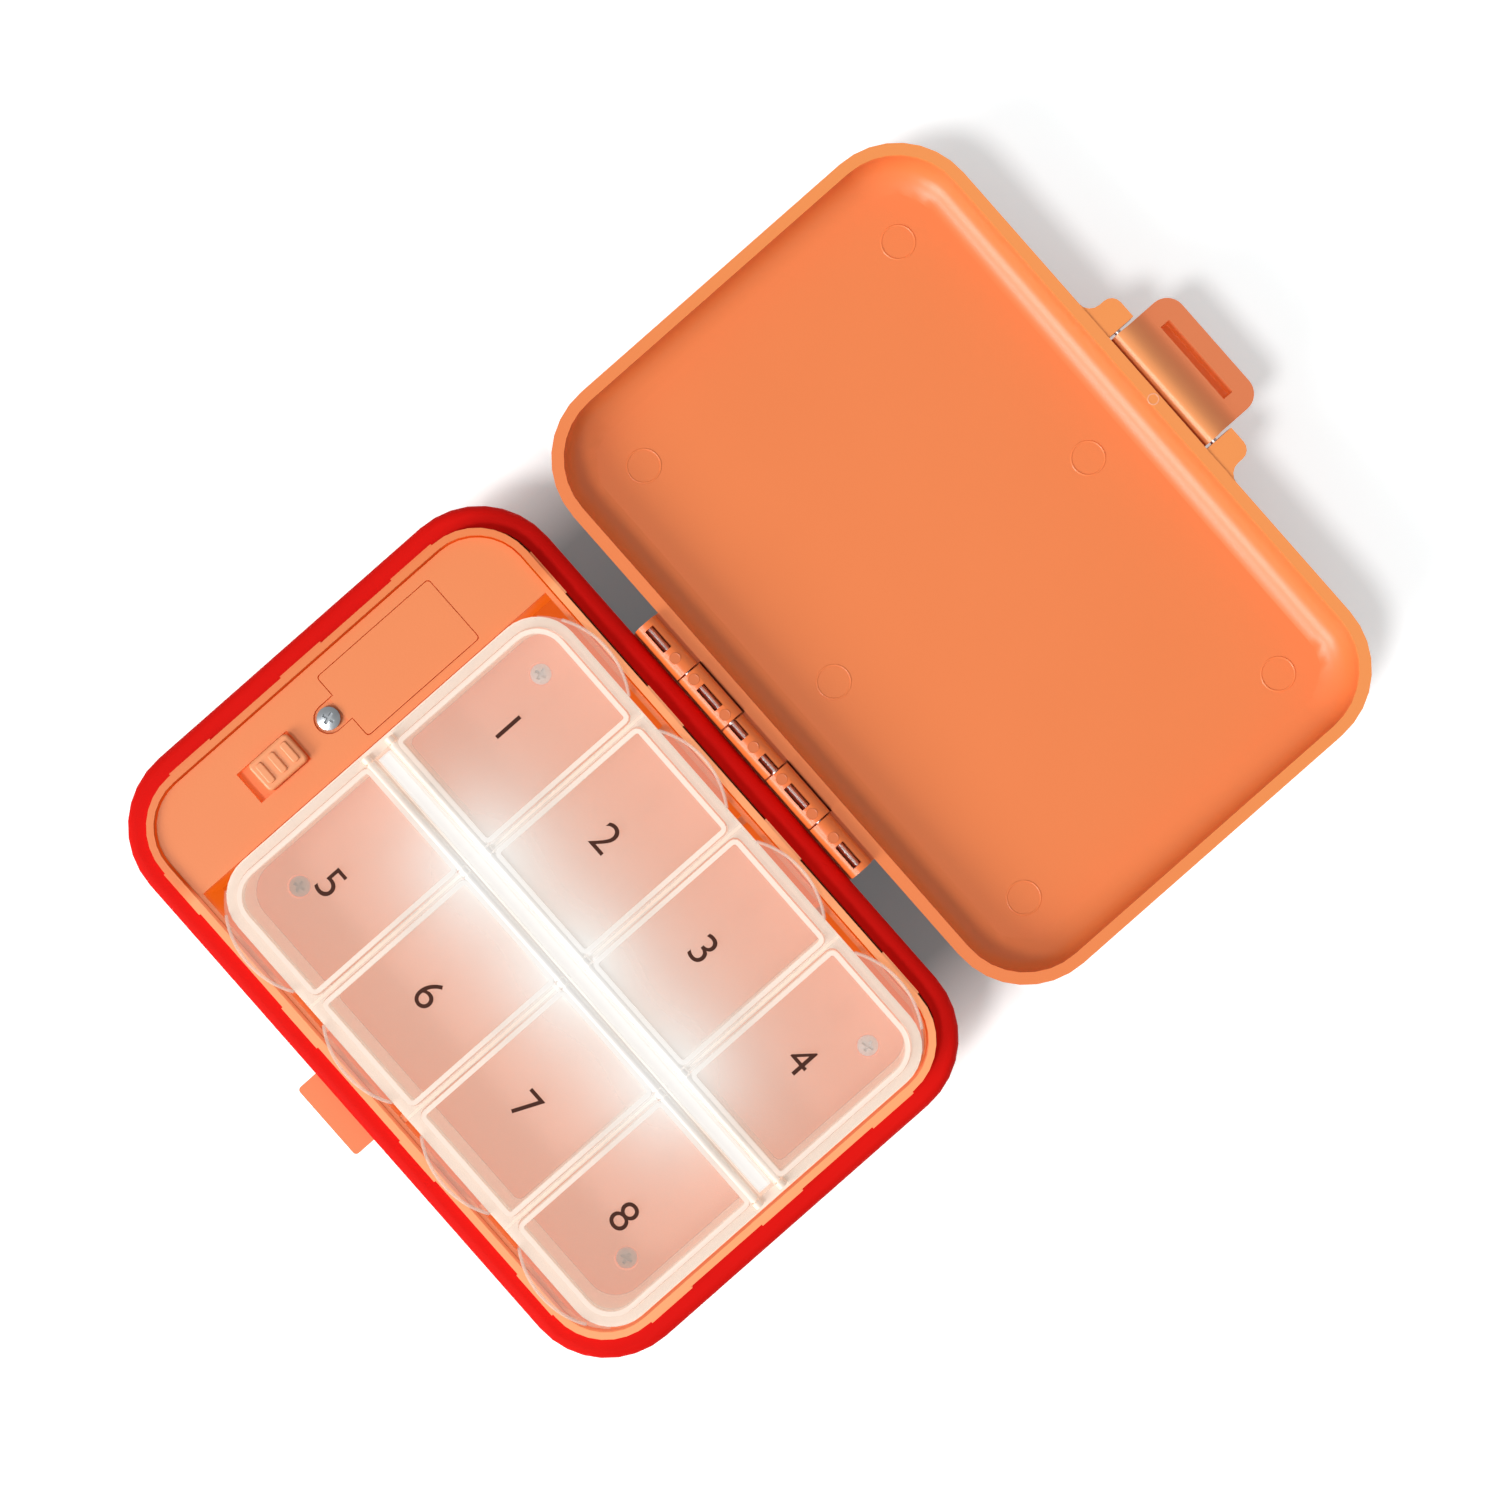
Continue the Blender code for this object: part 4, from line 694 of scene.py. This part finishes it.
def make_surfaces():
    """The finish of each material slot, and of the nodes that differ from their slot's."""
    # Painted shade: a darker, deeper orange on the hinge knuckles
    knuckle = (knuckle_shade_colour, near_hinge_pin)
    slots = {
        "orange_plastic": orange_plastic("orange_shell", *shell_tones, accents=(knuckle,),
                                         light_within=lip_light),
        "red_silicone": red_rubber(),
        "frosted_plastic": frosted("frosted_lids", lid_milky, flip_rim_colour, flip_rim_alpha),
        "light_diffuser": plain("light_diffuser", lit_colour, roughness=0.4, glowing=bar_strength),
        "steel": metal("pin_steel", steel_colour, roughness=0.38, polished=True),
        "zinc": metal("screw_zinc", zinc_colour, roughness=0.26, tone_share=screw_tone_share),
        "contact_metal": metal("contact_metal", contact_colour, roughness=0.30),
        "circuit_board": plain("circuit_board", board_colour, roughness=0.4),
        "led_package": plain("led_package", diode_colour, roughness=0.3, glowing=diode_strength),
        "switch_housing": plain("switch_housing", housing_colour, roughness=0.5),
        "wire_insulation": plain("wire_insulation", wire_colour, roughness=0.45),
    }
    own = {
        "organizer_tray": frosted("frosted_tray", tray_milky, tray_rim_colour, tray_rim_alpha),
        "inner_frame": orange_plastic("orange_frame", *deck_tones,
                                      # Painted shade: the pocket below the deck in a darker orange
                                      accents=((pocket_shade_colour, in_pocket),),
                                      light_within=pocket_light),
        "battery_door": orange_plastic("orange_door", *deck_tones),
        "lid_shell": orange_plastic("orange_lid", *shell_tones,
                                    # Painted light on the lid's rim
                                    accents=((lid_rim_light_colour, lit_lid_rim), knuckle)),
        # Painted sheen and light on the switch knob
        "switch_knob": orange_plastic("orange_knob", *knob_sheen_tones),
        # Painted shade: the latch in darker tones
        "latch": orange_plastic("orange_latch", *latch_shade_tones,
                                # Painted highlight towards the top of the latch's barrel
                                accents=((latch_highlight_colour, up_the_latch),),
                                light_within=slot_light),
    }
    dull_zinc = metal("frame_screw_zinc", dull_zinc_colour, roughness=0.55, metallic=0.2)
    for number in range(1, frame_screw_count + 1):
        own[f"frame_screw_{number}"] = dull_zinc
    return slots, own


def dress_nodes(slots, own):
    """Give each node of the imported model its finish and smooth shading."""
    for part in frame["record"]["subparts"]:
        node = frame["nodes"][part["node"]]
        node.data.materials.clear()
        node.data.materials.append(own.get(part["node"], slots[part["material_slot"]]))
        soften(node)


def finished_mesh(name, plan):
    """A mesh from its plan, with its faces pointing out."""
    bmesh.ops.recalc_face_normals(plan, faces=plan.faces)
    mesh = bpy.data.meshes.new(name)
    plan.to_mesh(mesh)
    plan.free()
    return mesh


def add_piece(name, mesh, surface, body):
    """A piece of the scene's own, which rides on a body."""
    piece = bpy.data.objects.new(name, mesh)
    mesh.materials.append(surface)
    bpy.context.scene.collection.objects.link(piece)
    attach(piece, body)
    return piece


def make_numerals():
    """One printed numeral on each flip lid, its top towards the hinge of the case."""
    ink = plain("print", ink_colour, roughness=0.6, gloss=ink_gloss)
    turn = math.radians(numeral_turn)
    _, plate_top = plate_levels()
    for number, side, row in flip_lids():
        middle_x = numeral_near_x if side > 0 else numeral_far_x
        middle_y = row_centre(row) + numeral_shift_y
        curve = bpy.data.curves.new(f"numeral_{number}", "FONT")
        curve.body = str(number)
        curve.align_x = "CENTER"
        curve.align_y = "CENTER"
        curve.size = numeral_height / numeral_cap_share
        curve.offset = numeral_weight_share * curve.size
        curve.extrude = numeral_thickness / 2
        holder = bpy.data.objects.new("numeral_source", curve)
        bpy.context.scene.collection.objects.link(holder)
        shape = bpy.data.meshes.new_from_object(holder)
        bpy.data.objects.remove(holder)
        for vertex in shape.vertices:
            x, y, z = vertex.co
            vertex.co = (middle_x + x * math.cos(turn) - y * math.sin(turn),
                         middle_y + x * math.sin(turn) + y * math.cos(turn),
                         plate_top + numeral_lift + numeral_thickness / 2 + z)
        add_piece(f"numeral_{number}", shape, ink, f"flip_{number}")


def tube_mesh(name, path, radius):
    """A round tube with closed ends along level points."""
    plan = bmesh.new()
    rows = []
    for k, point in enumerate(path):
        ahead = path[min(k + 1, len(path) - 1)] - path[max(k - 1, 0)]
        outward = ahead.cross(UP).normalized()
        row = []
        for step in range(tube_sides):
            angle = 2 * math.pi * step / tube_sides
            offset = math.cos(angle) * outward + math.sin(angle) * UP
            row.append(plan.verts.new(point + radius * offset))
        rows.append(row)
    for first, second in zip(rows, rows[1:]):
        for k in range(tube_sides):
            after = (k + 1) % tube_sides
            plan.faces.new((first[k], second[k], second[after], first[after])).smooth = True
    plan.faces.new(rows[0])
    plan.faces.new(rows[-1])
    return finished_mesh(name, plan)


def tab_path(number, side, row):
    """Points along the edge of a half-moon tab, which runs on to the tray's corner in an end row."""
    tray_low, tray_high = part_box("organizer_tray")
    low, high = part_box(f"flip_lid_{number}")
    tip_x = max(high.x, -low.x)
    edge_x = tray_high.x - plate_edge_inset
    centre_x = tip_x - tab_radius
    middle_y = row_centre(row)
    reach = math.acos((edge_x - centre_x) / tab_radius)
    ends = {-1: -reach, 1: reach}
    corners = {0: (1, tray_high.y - plate_edge_inset),
               rows_per_side - 1: (-1, tray_low.y + plate_edge_inset)}
    if row in corners:
        sign, outer_y = corners[row]
        corner_y = outer_y - sign * plate_corner_radius
        ends[sign] = math.atan2(corner_y - middle_y, edge_x - plate_corner_radius - centre_x)
    level = sum(plate_levels()) / 2
    arc_radius = tab_radius - tab_edge_inset
    path = []
    for k in range(tab_steps + 1):
        angle = ends[-1] + (ends[1] - ends[-1]) * k / tab_steps
        reach_x = centre_x + arc_radius * math.cos(angle)
        inside_corner = reach_x < edge_x
        if not inside_corner:
            path.append(Vector((side * reach_x, middle_y + arc_radius * math.sin(angle), level)))
    return path


def make_tab_edges():
    """The rounded edge of each half-moon tab, painted pale: partly the frosted edge's own whiteness, partly a
    painted highlight.
    """
    surface = plain("frosted_edge", tab_edge_highlight_colour, roughness=0.3, alpha=tab_edge_alpha)
    for number, side, row in flip_lids():
        name = f"tab_edge_{number}"
        mesh = tube_mesh(name, tab_path(number, side, row), tab_edge_radius)
        add_piece(name, mesh, surface, f"flip_{number}")


def ring_mesh(name, centre, radius, line, height, foot=0.0, fill=None):
    """A low round ring with sloping sides, whose middle can be filled at a level."""
    plan = bmesh.new()
    slope = mark_slope_share * line
    profile = ((radius - line, foot if fill is None else fill), (radius - line + slope, height),
               (radius - slope, height), (radius, foot))
    rows = []
    for reach, z in profile:
        row = []
        for k in range(mark_sides):
            angle = 2 * math.pi * k / mark_sides
            offset = Vector((reach * math.cos(angle), reach * math.sin(angle), z))
            row.append(plan.verts.new(centre + offset))
        rows.append(row)
    for inner, outer in zip(rows, rows[1:]):
        for k in range(mark_sides):
            after = (k + 1) % mark_sides
            plan.faces.new((inner[k], outer[k], outer[after], inner[after])).smooth = True
    if fill is not None:
        plan.faces.new(rows[0])
    return finished_mesh(name, plan)


def make_knuckle_marks():
    """Round marks on top of the hinge knuckles, over the pin, painted darker as the shade of a shallow recess."""
    surface = orange_plastic("orange_mark", *knuckle_mark_shade_tones)
    pin_x = joint_place("lid_hinge").x
    top_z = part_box("hinge_pin")[1].z + knuckle_over_pin
    for body, places in knuckle_mark_y.items():
        for number, y in enumerate(places, start=1):
            name = f"{body}_knuckle_mark_{number}"
            mesh = ring_mesh(name, Vector((pin_x, y, top_z)), knuckle_mark_radius, knuckle_mark_line,
                             knuckle_mark_height, foot=knuckle_mark_sink, fill=knuckle_mark_fill)
            add_piece(name, mesh, surface, body)


def make_lid_marks(surface):
    """Six large rings in the lid's floor, and a small pale one on its rim beside the latch."""
    middle_x = lid_middle_x()
    floor_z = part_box("lid_shell")[0].z + lid_roof
    for row in (-1, 0, 1):
        for column in (-1, 1):
            place = Vector((middle_x + column * lid_mark_reach.x,
                            lid_mark_shift_y + row * lid_mark_reach.y, floor_z))
            name = f"lid_mark_{row + 2}_{column + 2}"
            mesh = ring_mesh(name, place, lid_mark_radius, lid_mark_line, lid_mark_height)
            add_piece(name, mesh, surface, "lid")
    pale = orange_plastic("orange_pale", *gate_mark_tones)
    place = Vector((lid_far_x() - gate_mark_inset, gate_mark_y, rim_z()))
    mesh = ring_mesh("gate_mark", place, gate_mark_radius, knuckle_mark_line, knuckle_mark_height)
    add_piece("gate_mark", mesh, pale, "lid")


def make_latch_curve(surface):
    """The hollow curve from the latch's barrel down to its plate, one solid along the latch."""
    low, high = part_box("latch")
    axis = joint_place("latch_hinge")
    plate_top = latch_plate_top()
    rise = high.z - plate_top
    profile = []
    for k in range(latch_curve_steps + 1):
        share = k / latch_curve_steps
        fall = math.cos(share * math.pi / 2) ** 2
        profile.append((axis.x + share * latch_curve_length, plate_top + rise * fall))
    profile.append((axis.x + latch_curve_length, plate_top - latch_curve_sink))
    profile.append((axis.x, plate_top - latch_curve_sink))
    plan = bmesh.new()
    ends = []
    for y in (low.y + latch_curve_side_gap, high.y - latch_curve_side_gap):
        ends.append([plan.verts.new((x, y, z)) for x, z in profile])
    for k in range(len(profile)):
        after = (k + 1) % len(profile)
        plan.faces.new((ends[0][k], ends[0][after], ends[1][after], ends[1][k]))
    for end in ends:
        plan.faces.new(end)
    mesh = finished_mesh("latch_curve", plan)
    soften(add_piece("latch_curve", mesh, surface, "latch"))


make_camera()
make_floor()
make_light()
slots, own = make_surfaces()
dress_nodes(slots, own)
make_numerals()
make_tab_edges()
make_knuckle_marks()
make_lid_marks(slots["orange_plastic"])
make_latch_curve(own["latch"])

bpy.context.scene.view_settings.view_transform = "Standard"
